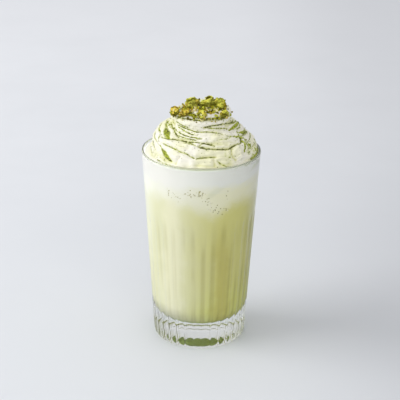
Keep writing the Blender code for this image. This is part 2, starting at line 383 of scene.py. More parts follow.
# %% [markdown]
# ## The whipped cream
#
# The cream was piped with a star nozzle, so it winds up in a spiral of broad turns, each with sharp
# creases along it where the nozzle's teeth passed. A grid is the easiest thing to wrap into such a
# shape: one side of it runs round the drink and the other from the froth up to the tip. First comes
# the smooth outline, as shares of the swirl's height, and what the hand did to it: the first turn
# started a little inside the rim, and the top sank behind the nuts.

# %% The swirl's smooth outline
cream_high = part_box("whipped_cream")[1]
SWIRL_HEIGHT = 0.0320
SWIRL_OUTLINE = (
    (0.0400, 0.00),
    (0.0374, 0.15),
    (0.0346, 0.28),
    (0.0310, 0.41),
    (0.0268, 0.52),
    (0.0214, 0.62),
    (0.0206, 0.82),
    (0.0165, 0.97),
    (0.0080, 1.00),
    (0.0000, 1.00),
)
START_GAP = 0.0045
START_ANGLE = math.pi
START_REACH = math.radians(58)
START_CLIMB = 0.34
DENT_DEPTH = 0.0030
DENT_ANGLE = math.radians(136)
DENT_REACH = math.radians(70)
DENT_CLIMB = 0.80
DENT_CLIMB_REACH = 0.20
CURVE_STEPS = 32


def start_gap(angle, climb):
    """How far the swirl stands back from the rim on the side where the piping started."""
    away = np.abs(turn_between(START_ANGLE, angle))
    return START_GAP * ease(1 - away / START_REACH) * ease(1 - climb / START_CLIMB)


def top_dent(angle, climb):
    """How far the top tier has sunk on its back, behind the nuts."""
    away = np.abs(turn_between(DENT_ANGLE, angle))
    up = np.abs(climb - DENT_CLIMB)
    return DENT_DEPTH * ease(1 - away / DENT_REACH) * ease(1 - up / DENT_CLIMB_REACH)


def outline_at(t):
    """A point of the swirl's smooth outline and its outward normal, for t from 0 to 1."""
    points = [Vector((radius, GLASS_HEIGHT + SWIRL_HEIGHT * share)) for radius, share in SWIRL_OUTLINE]
    spans = len(points) - 1
    i = min(int(t * spans), spans - 1)
    before, start = points[max(i - 1, 0)], points[i]
    end, after = points[i + 1], points[min(i + 2, spans)]
    handle_out, handle_in = (end - before) / 6, (after - start) / 6
    curve = geometry.interpolate_bezier(start, start + handle_out, end - handle_in, end, CURVE_STEPS + 1)
    step = (t * spans - i) * CURVE_STEPS
    k = min(int(step), CURVE_STEPS - 1)
    point = curve[k].lerp(curve[k + 1], step - k)
    along = (curve[k + 1] - curve[k]).normalized()
    return point, Vector((along.y, -along.x))


print(f"the cream stands {(cream_high.z - GLASS_HEIGHT) * 1000:.1f} mm above the rim")

# %% [markdown]
# The piping bag was held in a hand, so the creases that face the front aren't a clean spiral. They
# run down to the right, join, and end where the bag was turned. Those are laid out one by one, as
# lines over the swirl. The powder was sprinkled from above and gathered in them, and a few spots took
# a whole pinch. A crease has a depth in millimetres, an amount of powder, and its points. A mound has
# a height and a width in millimetres, and is a hollow where its height is negative. A pinch has a
# width in millimetres and an amount. Every point is a pair: degrees from the front, and the climb,
# which is 0 at the rim and 1 at the tip.

# %% Lay out the creases, the mounds and the pinches of powder
CREASES = (
    (0.9, 0.9, ((-60, 0.68), (-23, 0.70), (-2, 0.69), (13, 0.715), (32, 0.71), (64, 0.70))),
    (1.3, 1.0, ((2, 0.60), (10, 0.61), (20, 0.62), (32, 0.62), (50, 0.61))),
    (0.6, 0.6, ((40, 0.62), (57, 0.60), (80, 0.57), (100, 0.55))),
    (0.5, 0.8, ((8, 0.605), (22, 0.59), (37, 0.58), (57, 0.54))),
    (0.7, 0.7, ((-56, 0.60), (-32, 0.58), (-21, 0.57), (-11, 0.55), (9, 0.555), (21, 0.54), (35, 0.50))),
    (0.7, 0.9, ((-64, 0.55), (-44, 0.51), (-30, 0.485), (-16, 0.465), (3, 0.445))),
    (0.5, 0.9, ((-88, 0.56), (-59, 0.53), (-43, 0.47), (-33, 0.43))),
    (0.5, 1.0, ((-50, 0.575), (-38, 0.555), (-26, 0.53), (-14, 0.508), (-4, 0.50))),
    (0.5, 1.0, ((-46, 0.472), (-34, 0.452), (-20, 0.432), (-6, 0.42))),
    (0.4, 0.9, ((-56, 0.63), (-44, 0.615), (-34, 0.60), (-24, 0.60))),
    (0.6, 0.8, ((-32, 0.405), (-22, 0.40), (-11, 0.39), (9, 0.375), (17, 0.345))),
    (0.4, 0.6, ((-25, 0.365), (-14, 0.345), (-4, 0.32), (5, 0.315))),
    (0.5, 0.5, ((34, 0.51), (37, 0.47), (43, 0.43), (57, 0.41))),
    (0.4, 0.4, ((21, 0.42), (32, 0.40), (41, 0.41), (52, 0.42))),
    (0.5, 0.6, ((-4, 0.33), (1, 0.36), (4, 0.385), (9, 0.36), (13, 0.335), (19, 0.315))),
    (1.1, 0.8, ((-66, 0.33), (-45, 0.36), (-32, 0.395), (-22, 0.395), (-14, 0.37), (-5, 0.33))),
    (1.2, 0.9, ((-6, 0.33), (4, 0.295), (16, 0.28), (28, 0.26), (35, 0.25), (41, 0.275), (49, 0.285))),
    (0.8, 0.6, ((41, 0.275), (49, 0.285), (55, 0.27), (61, 0.31), (64, 0.38))),
    (0.6, 1.0, ((4, 0.785), (20, 0.795), (40, 0.80), (62, 0.79))),
    (0.5, 1.0, ((8, 0.83), (24, 0.84), (44, 0.845), (60, 0.835))),
    (0.5, 0.9, ((-38, 0.765), (-22, 0.765), (-8, 0.765), (4, 0.76))),
    (1.0, 0.8, ((-53, 0.265), (-37, 0.26), (-26, 0.225), (-17, 0.205), (-11, 0.165), (-6, 0.135))),
    (1.0, 0.6, ((-6, 0.135), (-1, 0.15), (6, 0.16), (17, 0.155))),
    (1.1, 0.2, ((40, 0.26), (35, 0.20), (35, 0.13), (39, 0.06))),
    (0.7, 0.6, ((16, 0.10), (20, 0.06), (26, 0.01))),
    (0.9, 0.1, ((13, 0.13), (14, 0.02))),
    (0.8, 0.1, ((-22, 0.15), (-26, 0.03))),
)
MOUNDS = (
    (1.0, 3.0, ((-56, 0.32), (-38, 0.32), (-22, 0.28))),
    (0.9, 2.8, ((-30, 0.12), (-18, 0.09))),
    (0.8, 2.6, ((-8, 0.08), (8, 0.08))),
    (0.7, 2.4, ((20, 0.13), (27, 0.10))),
    (1.6, 2.6, ((46, 0.23), (47, 0.18), (45, 0.12))),
    (0.8, 2.2, ((-24, 0.64), (-4, 0.625))),
    (0.6, 2.6, ((18, 0.45), (48, 0.43))),
    (0.8, 3.0, ((-78, 0.12), (-62, 0.10))),
    (-1.6, 2.4, ((58, 0.595), (85, 0.60), (120, 0.60))),
    (-1.3, 2.2, ((-125, 0.60), (-90, 0.60), (-62, 0.60))),
    (0.8, 2.2, ((62, 0.70), (90, 0.70))),
    (0.9, 2.4, ((-100, 0.50), (-74, 0.50))),
)
PINCHES = (
    (2.3, 1.0, ((-74, 0.46), (-60, 0.43), (-48, 0.37))),
    (1.0, 0.7, ((-100, 0.50), (-76, 0.53), (-56, 0.51))),
    (1.5, 1.0, ((-50, 0.18), (-43, 0.14), (-38, 0.10), (-32, 0.065))),
    (1.2, 1.0, ((52, 0.51), (66, 0.51), (85, 0.50), (105, 0.46))),
    (0.7, 0.8, ((79, 0.56), (109, 0.48))),
    (1.3, 1.0, ((67, 0.41), (79, 0.365), (97, 0.30))),
    (3.4, 0.70, ((64, 0.42), (62, 0.29), (67, 0.22), (66, 0.14), (58, 0.09))),
    (3.0, 0.60, ((88, 0.16), (85, 0.06), (71, 0.03), (60, 0.01))),
    (1.0, 1.0, ((104, 0.05), (92, 0.01), (75, 0.0), (60, 0.0))),
    (2.4, 0.16, ((-92, 0.36), (-84, 0.30), (-76, 0.22), (-70, 0.14))),
    (3.0, 0.22, ((-70, 0.03), (-52, 0.02), (-36, 0.02))),
    (3.4, 0.30, ((29, 0.22), (29, 0.07))),
    (4.4, 0.24, ((-50, 0.53), (-30, 0.46), (-8, 0.40))),
    (0.8, 0.65, ((-72, 0.36), (-62, 0.29), (-55, 0.22), (-50, 0.19))),
    (0.8, 0.9, ((50, 0.40), (56, 0.385), (62, 0.36))),
    (0.9, 0.9, ((61, 0.27), (58, 0.20), (53, 0.14))),
    (3.0, 0.30, ((60, 0.50), (80, 0.42))),
    (0.8, 0.6, ((-50, 0.015), (-38, 0.005), (-30, 0.0))),
)


def smoothed(line):
    """A line with its corners cut twice, which rounds them."""
    points = np.array(line)
    for _ in range(2):
        near = 0.75 * points[:-1] + 0.25 * points[1:]
        far = 0.25 * points[:-1] + 0.75 * points[1:]
        between = np.column_stack([near, far]).reshape(-1, 2)
        points = np.concatenate([points[:1], between, points[-1:]])
    return points


print(f"{len(CREASES)} creases, {len(MOUNDS)} mounds and {len(PINCHES)} pinches of powder laid out")

# %% [markdown]
# The grid has two parts. The rows of the plug lie inside the glass, on the froth, and the rows of the
# swirl above the rim. Every point of the grid stands for one direction and one row, and each row
# knows its place on the smooth outline, its outward normal, and how far up the surface it lies.

# %% Add the grid for the cream
CREAM_ROWS = 204
PLUG_ROWS = 16

bpy.ops.object.select_all(action="DESELECT")
bpy.ops.mesh.primitive_grid_add(
    x_subdivisions=LAYER_STEPS, y_subdivisions=PLUG_ROWS + CREAM_ROWS, size=2, calc_uvs=True
)
cream = bpy.context.object
cream.name = "whipped_cream_swirl"
flat_points = points_of(cream)
cream_angle = math.pi * flat_points[:, 0]
cream_row = np.rint((flat_points[:, 1] + 1) / 2 * (PLUG_ROWS + CREAM_ROWS)).astype(int) - PLUG_ROWS
in_swirl = cream_row >= 0
climb = np.clip(cream_row / CREAM_ROWS, 0, 1)
rows = [outline_at(row / CREAM_ROWS) for row in range(CREAM_ROWS + 1)]
row_point = np.array([point for point, normal in rows])
row_normal = np.array([normal for point, normal in rows])
row_length = np.concatenate([[0], np.cumsum(np.hypot(*np.diff(row_point, axis=0).T))])
row_of = np.maximum(cream_row, 0)
base_radius = row_point[row_of, 0]
length_up = row_length[row_of]


def around_places(climb, fine_around, fine_up):
    """Places for noise on the swirl, so that the noise meets itself where the turn closes."""
    return np.column_stack([
        fine_around * np.cos(cream_angle),
        fine_around * np.sin(cream_angle),
        fine_up * climb,
    ])


def swirl_noise(fine_around, fine_up, shift=0):
    """Smooth noise between about -1 and 1 over the whole swirl, finer for larger numbers."""
    places = around_places(climb, fine_around, fine_up) + shift
    return np.array([noise.noise(Vector(place)) for place in places])


print(f"the cream's grid has {len(flat_points)} points, {in_swirl.sum()} of them in the swirl")

# %% [markdown]
# Two kinds of relief are added up. One is the spiral that the nozzle leaves: broad tiers, folds on
# them, and fine ridges, with rounded tops and narrow creases. It fades where the laid creases take
# over. Powder gathers in the creases of both, so its amount is worked out beside the height.

# %% The spiral's relief
SWIRL_TURNS = 3
FRONT_DIP = 0.16
TIER_DEPTH = 1.5 * MM
FOLDS_PER_TURN = 3
FOLD_DEPTH = 1.0 * MM
FINE_DEPTH = 0.45 * MM
LUMP_DEPTH = 0.55 * MM
SWELL_DEPTH = 1.0 * MM
RIDGE_SOFTNESS = 0.015
FINE_SOFTNESS = 0.01


def turns_below():
    """How many turns of the spiral lie under each place: it climbs clockwise and dips at the front."""
    dip = -FRONT_DIP * (1 - climb) * np.sin(cream_angle)
    return SWIRL_TURNS * climb + cream_angle / math.tau + dip + 0.10 * swirl_noise(1.6, 4.0)


def ridges(turn, count, power, softness):
    """Rounded ridges with narrow creases between them, near 0 in a crease and about 1 on a ridge."""
    return (np.sin(math.pi * count * turn) ** 2 + softness) ** power


def spiral_relief():
    """The tiers, folds and fine ridges that the nozzle leaves, and the powder lying in them."""
    turn = turns_below()
    shake = 0.05 * swirl_noise(5, 16)
    tier = ridges(turn, 1, 0.35, RIDGE_SOFTNESS)
    fold = ridges(turn + shake, FOLDS_PER_TURN, 0.4, RIDGE_SOFTNESS)
    fine = ridges(turn + 1.6 * shake, 3 * FOLDS_PER_TURN, 0.5, FINE_SOFTNESS)
    fine_here = ease(0.5 + 1.6 * swirl_noise(2.5, 8, 7))
    lump = LUMP_DEPTH * swirl_noise(9, 22, 3)
    swell = SWELL_DEPTH * swirl_noise(3.6, 9, 11) * ease((0.6 - climb) / 0.3)
    facing = ease((np.cos(cream_angle - FRONT) - 0.1) / 0.5) * ease((0.74 - climb) / 0.1)
    height = TIER_DEPTH * (tier - 0.6) * (1 - 0.4 * facing)
    height += FOLD_DEPTH * (fold - 0.5) * (1 - 0.7 * facing)
    height += FINE_DEPTH * fine_here * (fine - 0.7)
    height += lump + swell
    dust = np.maximum.reduce([1 - tier / 0.5, 1 - fold / 0.6, fine_here * (0.5 - fine / 0.6)])
    return height, np.clip(dust, 0, 1) * (1 - 0.8 * facing)


cream_height, cream_dust = spiral_relief()
print(f"the spiral stands {np.ptp(cream_height) * 1000:.1f} mm from crease to ridge")

# %% [markdown]
# The other kind is the laid lines. For every point of the cream the nearest place on a line is found,
# which gives its distance from the line and how far along it lies. The distance then makes the
# profile: a narrow groove in a wider valley, a lip beside it, and powder in a core with a faint halo.

# %% The laid creases, mounds and pinches
CREASE_WIDTH = 0.45 * MM
VALLEY_WIDTH = 1.30 * MM
LIP_OFF = 2.1 * MM
LIP_WIDTH = 1.0 * MM
DUST_WIDTH = 0.34 * MM
HALO_WIDTH = 1.50 * MM
WANDER = 0.16 * MM
FAR_AWAY = 1.0


def laid(line):
    """Distance from a line and place along it from 0 to 1, for every point of the cream."""
    rounded = smoothed(line)
    corner_up = np.interp(rounded[:, 1] * CREAM_ROWS, np.arange(CREAM_ROWS + 1), row_length)
    corner_angle = [math.radians(degrees) + FRONT for degrees in rounded[:, 0]]
    nearest = np.full(len(cream_angle), FAR_AWAY)
    along = np.zeros(len(cream_angle))
    legs = len(rounded) - 1
    for i in range(legs):
        across = turn_between(corner_angle[i], cream_angle) * base_radius
        up = length_up - corner_up[i]
        leg_across = (corner_angle[i + 1] - corner_angle[i]) * base_radius
        leg_up = corner_up[i + 1] - corner_up[i]
        share = np.clip((across * leg_across + up * leg_up) / (leg_across**2 + leg_up**2), 0, 1)
        distance = np.hypot(across - share * leg_across, up - share * leg_up)
        closer = distance < nearest
        nearest = np.where(closer, distance, nearest)
        along = np.where(closer, (i + share) / legs, along)
    return nearest, along


wander = WANDER * swirl_noise(30, 60)
patchy = swirl_noise(17, 30, 5)
beads = swirl_noise(32, 54, 9)
for swell, width, line in MOUNDS:
    away, along = laid(line)
    cream_height = cream_height + swell * MM * bell(away, width * MM)
for depth, powder, line in CREASES:
    away, along = laid(line)
    away = np.abs(away + wander)
    ends = ease(along / 0.15) * ease((1 - along) / 0.15)
    groove = 0.6 * bell(away, CREASE_WIDTH) + 0.4 * bell(away, VALLEY_WIDTH)
    lip = bell(away - LIP_OFF, LIP_WIDTH)
    cream_height = cream_height + ends * depth * MM * (0.30 * lip - 1.25 * groove)
    sprinkled = np.clip(0.85 + 0.6 * patchy + 0.7 * beads, 0.25, 1.3)
    core = bell(away, DUST_WIDTH) + 0.3 * bell(away, HALO_WIDTH)
    cream_dust = np.maximum(cream_dust, ends * powder * sprinkled * core)
for width, powder, line in PINCHES:
    away, along = laid(line)
    reach = width * MM * (0.35 + 0.9 * np.sin(math.pi * np.clip(along, 0.08, 0.92)))
    loose = 1.0 if powder > 0.7 else np.clip(0.75 + 1.3 * patchy + 0.9 * beads, 0, 1.8)
    heap = ease((1.3 * reach + 1.2 * wander - away) / reach)
    cream_dust = np.maximum(cream_dust, loose * 0.85 * powder * heap)
print(f"powder covers {(cream_dust[in_swirl] > 0.5).mean():.0%} of the swirl")

# %% [markdown]
# Now the points can be placed. The plug follows the wall up from the froth. The swirl's points stand
# out from the outline along its normal, and at the front a little cream has spilled over the rim. The
# seams where the grid meets itself are merged, and the powder, the hollows and what lies under the
# glass are painted on the points for the finish.

# %% Wrap the grid into the cream
PLUG_TOP = 0.1405
SPILL = 1.5 * MM
HOLLOW_START = 0.35 * MM
HOLLOW_SPAN = 1.3 * MM
GLASS_SPAN = 1.5 * MM
CREAM_SEAM = 2e-6

fade = ease(climb / 0.06) * ease((1 - climb) / 0.14)
cream_height = fade * cream_height - top_dent(cream_angle, climb)
level = froth_level(cream_angle)
plug_row = np.clip((cream_row + PLUG_ROWS - 1) / (PLUG_ROWS - 2), 0, 1)
plug_z = level + (PLUG_TOP - level) * plug_row
plug_radius = np.where(cream_row == -PLUG_ROWS, 0.0, inner_radius(plug_z) + WALL_BITE)
at_front = ease((np.cos(cream_angle - FRONT - 0.05) - 0.80) / 0.12)
ring_noise = np.array([noise.noise(Vector(place)) for place in around_places(0 * climb, 9, 1)])
uneven = np.clip(0.65 + 0.7 * ring_noise, 0, 1)
spill = SPILL * at_front * uneven * ease(climb / 0.012) * ease((0.10 - climb) / 0.07)
swirl_radius = base_radius + row_normal[row_of, 0] * cream_height + spill - start_gap(cream_angle, climb)
swirl_z = row_point[row_of, 1] + row_normal[row_of, 1] * cream_height + 0.25 * spill
cream_radius = np.where(in_swirl, swirl_radius, plug_radius)
cream_z = np.where(in_swirl, swirl_z, np.where(plug_radius > 0, plug_z, FROTH_TOP))
move_points(cream, around_axis(cream_radius, cream_angle, cream_z))

hollow = np.clip((HOLLOW_START - cream_height) / HOLLOW_SPAN, 0, 1) * in_swirl
paint(cream, "dust", np.where(in_swirl, cream_dust * ease((1.02 - climb) / 0.1), 0.0))
paint(cream, "hollow", hollow)
paint(cream, "under_glass", ease((GLASS_HEIGHT - cream_z) / GLASS_SPAN))
close_seams(cream, CREAM_SEAM)
paint_levels(cream)
report(cream)

# %% [markdown]
# ## Chopped pistachio
#
# Each nut is chopped, so it has split faces and a crumbly skin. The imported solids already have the
# right places. A copy of each is remeshed with small voxels, which rounds its edges as chopping does,
# and is then roughened three times by a Displace modifier: large lumps, splits and crumb. One nut at
# the back is first made wider and lower about its foot, which closes the gap beside its neighbour.

# %% Dress the chopped nuts
NUT_VOXEL = 0.20 * MM
NUT_SHARP_ANGLE = 40
WIDER_NUT = "pistachio_back_right"
WIDER_NUT_FOOT = (0.0150, 0.0058, 0.1747)
WIDER_NUT_SIZE = (1.40, 1.0, 0.72)
NUT_RELIEF = (
    ("lumps", "CLOUDS", 3.2 * MM, 1.3 * MM, 0.45),
    ("splits", "VORONOI", 2.6 * MM, -1.4 * MM, 0.46),
    ("crumb", "CLOUDS", 0.8 * MM, 0.50 * MM, 0.5),
)


def resized(piece, size, centre):
    """Makes a piece larger or smaller along each axis, about a centre."""
    select_only(piece)
    edit_all()
    bpy.ops.transform.resize(value=size, center_override=centre)
    bpy.ops.object.mode_set(mode="OBJECT")


def roughened(piece, name, kind, size, strength, middle):
    """Adds a Displace modifier with a pattern of a given size."""
    pattern = bpy.data.textures.new(name, kind)
    pattern.noise_scale = size
    lumps = piece.modifiers.new(name, "DISPLACE")
    lumps.texture = pattern
    lumps.texture_coords = "LOCAL"
    lumps.strength = strength
    lumps.mid_level = middle


def chopped_nut(node):
    """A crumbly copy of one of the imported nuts."""
    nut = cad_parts[node].copy()
    nut.data = nut.data.copy()
    nut.name = "chopped_" + node
    nut.parent = None
    for key in list(nut.keys()):
        del nut[key]
    bpy.context.scene.collection.objects.link(nut)
    close_seams(nut, SEAM)
    if node == WIDER_NUT:
        resized(nut, WIDER_NUT_SIZE, WIDER_NUT_FOOT)
    remesh = nut.modifiers.new("fine_skin", "REMESH")
    remesh.mode = "VOXEL"
    remesh.voxel_size = NUT_VOXEL
    for relief in NUT_RELIEF:
        roughened(nut, *relief)
    select_only(nut)
    for modifier in list(nut.modifiers):
        bpy.ops.object.modifier_apply(modifier=modifier.name)
    bpy.ops.object.shade_smooth_by_angle(angle=math.radians(NUT_SHARP_ANGLE))
    return nut


nut_nodes = sorted(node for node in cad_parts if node.startswith("pistachio"))
nuts = [chopped_nut(node) for node in nut_nodes]
report(nuts[0])

# %% [markdown]
# ## Crumbs of nut and grains of powder
#
# Chopping leaves crumbs between the big pieces, and the powder is fine enough to lie in every crease.
# One crumb and one grain are modelled, and copies of them are turned, sized and dropped on the cream.
# The copies are joined into one piece of each kind, because thousands of single objects would be slow.

# %% Helpers for small things in large numbers
rng = np.random.default_rng(23)


def small_lump(name, radius, subdivisions, cuts):
    """A small lump with a few split faces, each given by its direction and its share of the radius."""
    bpy.ops.object.select_all(action="DESELECT")
    bpy.ops.mesh.primitive_ico_sphere_add(subdivisions=subdivisions, radius=radius)
    lump = bpy.context.object
    lump.name = name
    bpy.ops.object.mode_set(mode="EDIT")
    for normal, share in cuts:
        bpy.ops.mesh.select_all(action="SELECT")
        away = Vector(normal).normalized()
        bpy.ops.mesh.bisect(plane_co=away * radius * share, plane_no=away, use_fill=True, clear_outer=True)
    bpy.ops.object.mode_set(mode="OBJECT")
    return lump


def random_turns(count):
    """Random turns in all directions."""
    return np.array([Euler(rng.uniform(0, math.tau, 3)).to_matrix() for _ in range(count)])


def copies_of(model, name, places, sizes):
    """Joined copies of one model at many places, each with its own turn, size and painted tone."""
    turns = random_turns(len(places))
    shape = points_of(model)
    model.data.calc_loop_triangles()
    corners = np.array([tri.vertices[:] for tri in model.data.loop_triangles])
    spread = np.einsum("nij,vj->nvi", turns, shape) * sizes[:, None, None] + places[:, None, :]
    faces = corners[None, :, :] + (np.arange(len(places)) * len(shape))[:, None, None]
    mesh = bpy.data.meshes.new(name)
    mesh.from_pydata(spread.reshape(-1, 3), [], faces.reshape(-1, 3))
    joined = bpy.data.objects.new(name, mesh)
    bpy.context.scene.collection.objects.link(joined)
    bpy.data.objects.remove(model)
    paint(joined, "tone", np.repeat(rng.random(len(places)), len(shape)))
    return joined


cream_now = points_of(cream)
cream_normals = np.array([vertex.normal for vertex in cream.data.vertices])
dust_now = np.empty(len(cream_now))
cream.data.attributes["dust"].data.foreach_get("value", dust_now)
from_axis = radius_of(cream_now)
at_x, at_y, at_z = cream_now.T
print(f"crumbs and grains can lie on {len(cream_now)} points of the cream")

# %% [markdown]
# The crumbs lie mostly in a patch at the front of the top, between the nuts, with a few strays and
# some in the creases of the top tier. Each point of the cream gets a weight, and the dice choose
# among the points by weight. More crumbs stick to the nuts themselves.

# %% Drop crumbs on the top
CRUMB_TOTAL = 420
CRUMBS_ON_NUTS = 110
CRUMB_RADIUS = 1.1 * MM
CRUMB_SHAPE = (1.5, 0.9, 0.7)
CRUMB_CUTS = (
    ((1, 0.2, 0.3), 0.35),
    ((-0.5, 1, 0.2), 0.45),
    ((0, -0.6, 1), 0.50),
    ((-0.7, -0.8, -0.2), 0.40),
    ((0.2, 0.3, -1), 0.50),
)
TOP_TIER = GLASS_HEIGHT + 0.80 * SWIRL_HEIGHT
TOP_SHOULDER = GLASS_HEIGHT + 0.84 * SWIRL_HEIGHT
PATCH_MIDDLE = (0.001, -0.009)
PATCH_REACH = 0.0150
PATCH_BACK = 0.004
PATCH_FRONT_LEFT = -0.0215
PATCH_FRONT_RIGHT = -0.0185
STRAYS = 0.04

on_top = (at_z > TOP_TIER) & (cream_normals[:, 2] > 0.25)
patch_front = np.where(at_x > 0.002, PATCH_FRONT_RIGHT, PATCH_FRONT_LEFT)
in_patch = on_top & (at_y < PATCH_BACK) & (at_y > patch_front)
from_middle = np.hypot(at_x - PATCH_MIDDLE[0], (at_y - PATCH_MIDDLE[1]) * 1.3)
crumb_weight = np.where(in_patch, np.exp(-((from_middle / PATCH_REACH) ** 4)), 0.0)
crumb_weight = (crumb_weight + np.where(on_top, STRAYS, 0.0)) * from_axis
top_crease = (at_z > TOP_TIER) & (at_y < 0)
crumb_weight += np.where(top_crease, 1.2 * dust_now * from_axis, 0.0)
crumb_at = rng.choice(len(cream_now), CRUMB_TOTAL, replace=False, p=crumb_weight / crumb_weight.sum())
crumb_sizes = 0.35 + 1.25 * rng.random(CRUMB_TOTAL + CRUMBS_ON_NUTS) ** 1.4

crumb = small_lump("crumb", CRUMB_RADIUS, 1, CRUMB_CUTS)
resized(crumb, CRUMB_SHAPE, (0, 0, 0))
nut_points = np.concatenate([points_of(nut) for nut in nuts])
nut_points = nut_points[nut_points[:, 2] < cream_high.z - 0.5 * MM]
nut_crumb_places = nut_points[rng.choice(len(nut_points), CRUMBS_ON_NUTS, replace=False)]
crumb_sizes[:CRUMB_TOTAL] *= np.where(at_z[crumb_at] < TOP_SHOULDER, 0.5, 1.0)
lifted = cream_normals[crumb_at] * (crumb_sizes[:CRUMB_TOTAL] * 0.45 * MM)[:, None]
crumb_places = np.concatenate([cream_now[crumb_at] + lifted, nut_crumb_places])
crumbs = copies_of(crumb, "nut_crumbs", crumb_places, crumb_sizes)
report(crumbs)

# %% [markdown]
# Powder that was sprinkled doesn't lie flat. A few thousand real grains stand a little out of the
# painted powder, most of them where it is thick, and a very few of them anywhere above the rim.

# %% Drop grains where the powder lies
GRAIN_TOTAL = 5200
GRAIN_RADIUS = 0.15 * MM
GRAIN_SCATTER = 0.15 * MM
GRAIN_LIFT = 0.03 * MM
GRAIN_LARGEST = 2.4
LOOSE_GRAINS = 0.012

loose_grains = LOOSE_GRAINS * (at_z > GLASS_HEIGHT + 0.002)
grain_weight = (dust_now**1.3 + loose_grains) * from_axis
grain_at = rng.choice(len(cream_now), GRAIN_TOTAL, replace=False, p=grain_weight / grain_weight.sum())
grain_sizes = np.minimum(0.5 + rng.gamma(1.6, 0.35, GRAIN_TOTAL), GRAIN_LARGEST)
grain = small_lump("grain", GRAIN_RADIUS, 1, ())
grain_places = cream_now[grain_at] + cream_normals[grain_at] * GRAIN_LIFT
grain_places += rng.normal(0, GRAIN_SCATTER, grain_places.shape)
grains = copies_of(grain, "tea_grains", grain_places, grain_sizes)
report(grains)

# %% [markdown]
# ## Bubbles at the glass
#
# A few larger bubbles of the froth rest against the glass, in loose strings that follow the pour.
# Each is a bead that is mostly sunk in the froth and bulges a little into the wall, as the froth
# does. A string has a count and its points, each with degrees from the front and a height in metres.

# %% Set bubbles against the glass
BUBBLE_RADIUS = 0.40 * MM
BUBBLE_SINK = 0.05 * MM
BUBBLE_SCATTER = 1.6
BUBBLE_STRINGS = (
    (40, ((-35, 0.1235), (-31, 0.1215), (-26, 0.1200), (-19, 0.1195))),
    (56, ((-15, 0.1225), (-8, 0.1232), (0, 0.1234), (3, 0.1215))),
    (40, ((5, 0.1200), (9, 0.1165), (11, 0.1130), (15, 0.1105))),
    (16, ((16, 0.1108), (20, 0.1110), (28, 0.1105), (29, 0.1110))),
    (8, ((26, 0.1120), (26, 0.1160), (27, 0.1200), (28, 0.1240))),
)


def bubble_place(line):
    """A random place beside a string of bubbles, just inside the wall."""
    step = rng.uniform(0, len(line) - 1.001)
    (angle_a, z_a), (angle_b, z_b) = line[int(step)], line[int(step) + 1]
    share = step - int(step)
    angle = math.radians(angle_a + (angle_b - angle_a) * share + rng.normal(0, BUBBLE_SCATTER)) + FRONT
    z = z_a + (z_b - z_a) * share + rng.normal(0, BUBBLE_SCATTER * MM)
    radius = inner_radius(z) - BUBBLE_SINK
    return radius * math.cos(angle), radius * math.sin(angle), z


bubble_places = np.array([bubble_place(line) for count, line in BUBBLE_STRINGS for _ in range(count)])
bubble_sizes = rng.uniform(0.5, 1.2, len(bubble_places))
bubble = small_lump("bubble", BUBBLE_RADIUS, 2, ())
bubbles = copies_of(bubble, "froth_bubbles", bubble_places, bubble_sizes)
select_only(bubbles)
bpy.ops.object.shade_smooth()
report(bubbles)

# %% [markdown]
# ## How a finish is made
#
# A finish is a tree of shader nodes. Wiring them with the mouse and writing them in code come to the
# same thing, and a few short helpers keep the code as clear as a drawing of the tree. Each adds a
# node or two, fills their sockets and hands on the output. The first ones do sums, and make soft
# steps and stripes out of a value.

# %% Helpers that add nodes
def add(tree, kind, sockets=None, **settings):
    """Adds a shader node, sets its options, and fills sockets with plain values or links."""
    made = tree.nodes.new(kind)
    for option, value in settings.items():
        setattr(made, option, value)
    for socket, value in (sockets or {}).items():
        if isinstance(value, bpy.types.NodeSocket):
            tree.links.new(value, made.inputs[socket])
        else:
            made.inputs[socket].default_value = value
    return made


def math_of(tree, operation, first, second=0.0):
    """A Math node's result."""
    return add(tree, "ShaderNodeMath", {0: first, 1: second}, operation=operation).outputs[0]


def plus(tree, first, second):
    """Two values added up."""
    return math_of(tree, "ADD", first, second)


def minus(tree, first, second):
    """The second value taken from the first."""
    return math_of(tree, "SUBTRACT", first, second)


def times(tree, first, *others):
    """Any number of values multiplied."""
    for other in others:
        first = math_of(tree, "MULTIPLY", first, other)
    return first


def step_between(tree, value, low, high):
    """A smooth step from 0 at low to 1 at high. It falls where low is the larger."""
    sockets = {"Value": value, "From Min": low, "From Max": high}
    return add(tree, "ShaderNodeMapRange", sockets, interpolation_type="SMOOTHSTEP").outputs["Result"]


def stripe(tree, value, middle, edge, core):
    """1 as near to the middle as the core, and 0 beyond the edge."""
    return step_between(tree, math_of(tree, "ABSOLUTE", minus(tree, value, middle)), edge, core)


# %% [markdown]
# Patterns read the place on the piece itself, so they stay where they are put when it moves. Where a
# pattern follows the modelling, they read the numbers that were painted on the points.

# %% Helpers for patterns and colours
def noise_at(tree, place, scale, detail=3.0, rough=0.5, warp=0.0):
    """Noise of a given scale, in waves for each metre, at a place."""
    sockets = {"Vector": place, "Scale": scale, "Detail": detail, "Roughness": rough, "Distortion": warp}
    return add(tree, "ShaderNodeTexNoise", sockets).outputs[0]


def own_place(tree):
    """The place on the piece itself."""
    return add(tree, "ShaderNodeTexCoord").outputs["Object"]


def axes_of(tree, place):
    """A place's three numbers: to the right, to the back, and up."""
    apart = add(tree, "ShaderNodeSeparateXYZ", {0: place}).outputs
    return apart[0], apart[1], apart[2]


def squeezed(tree, place, up):
    """A place with its height multiplied, which stretches a pattern up for less than 1."""
    return add(tree, "ShaderNodeMapping", {"Vector": place, "Scale": (1, 1, up)}).outputs[0]


def painted(tree, name):
    """A number painted on the piece's points."""
    return add(tree, "ShaderNodeAttribute", attribute_name=name).outputs["Fac"]


def colour(red, green, blue):
    """A colour with its alpha."""
    return (red, green, blue, 1.0)


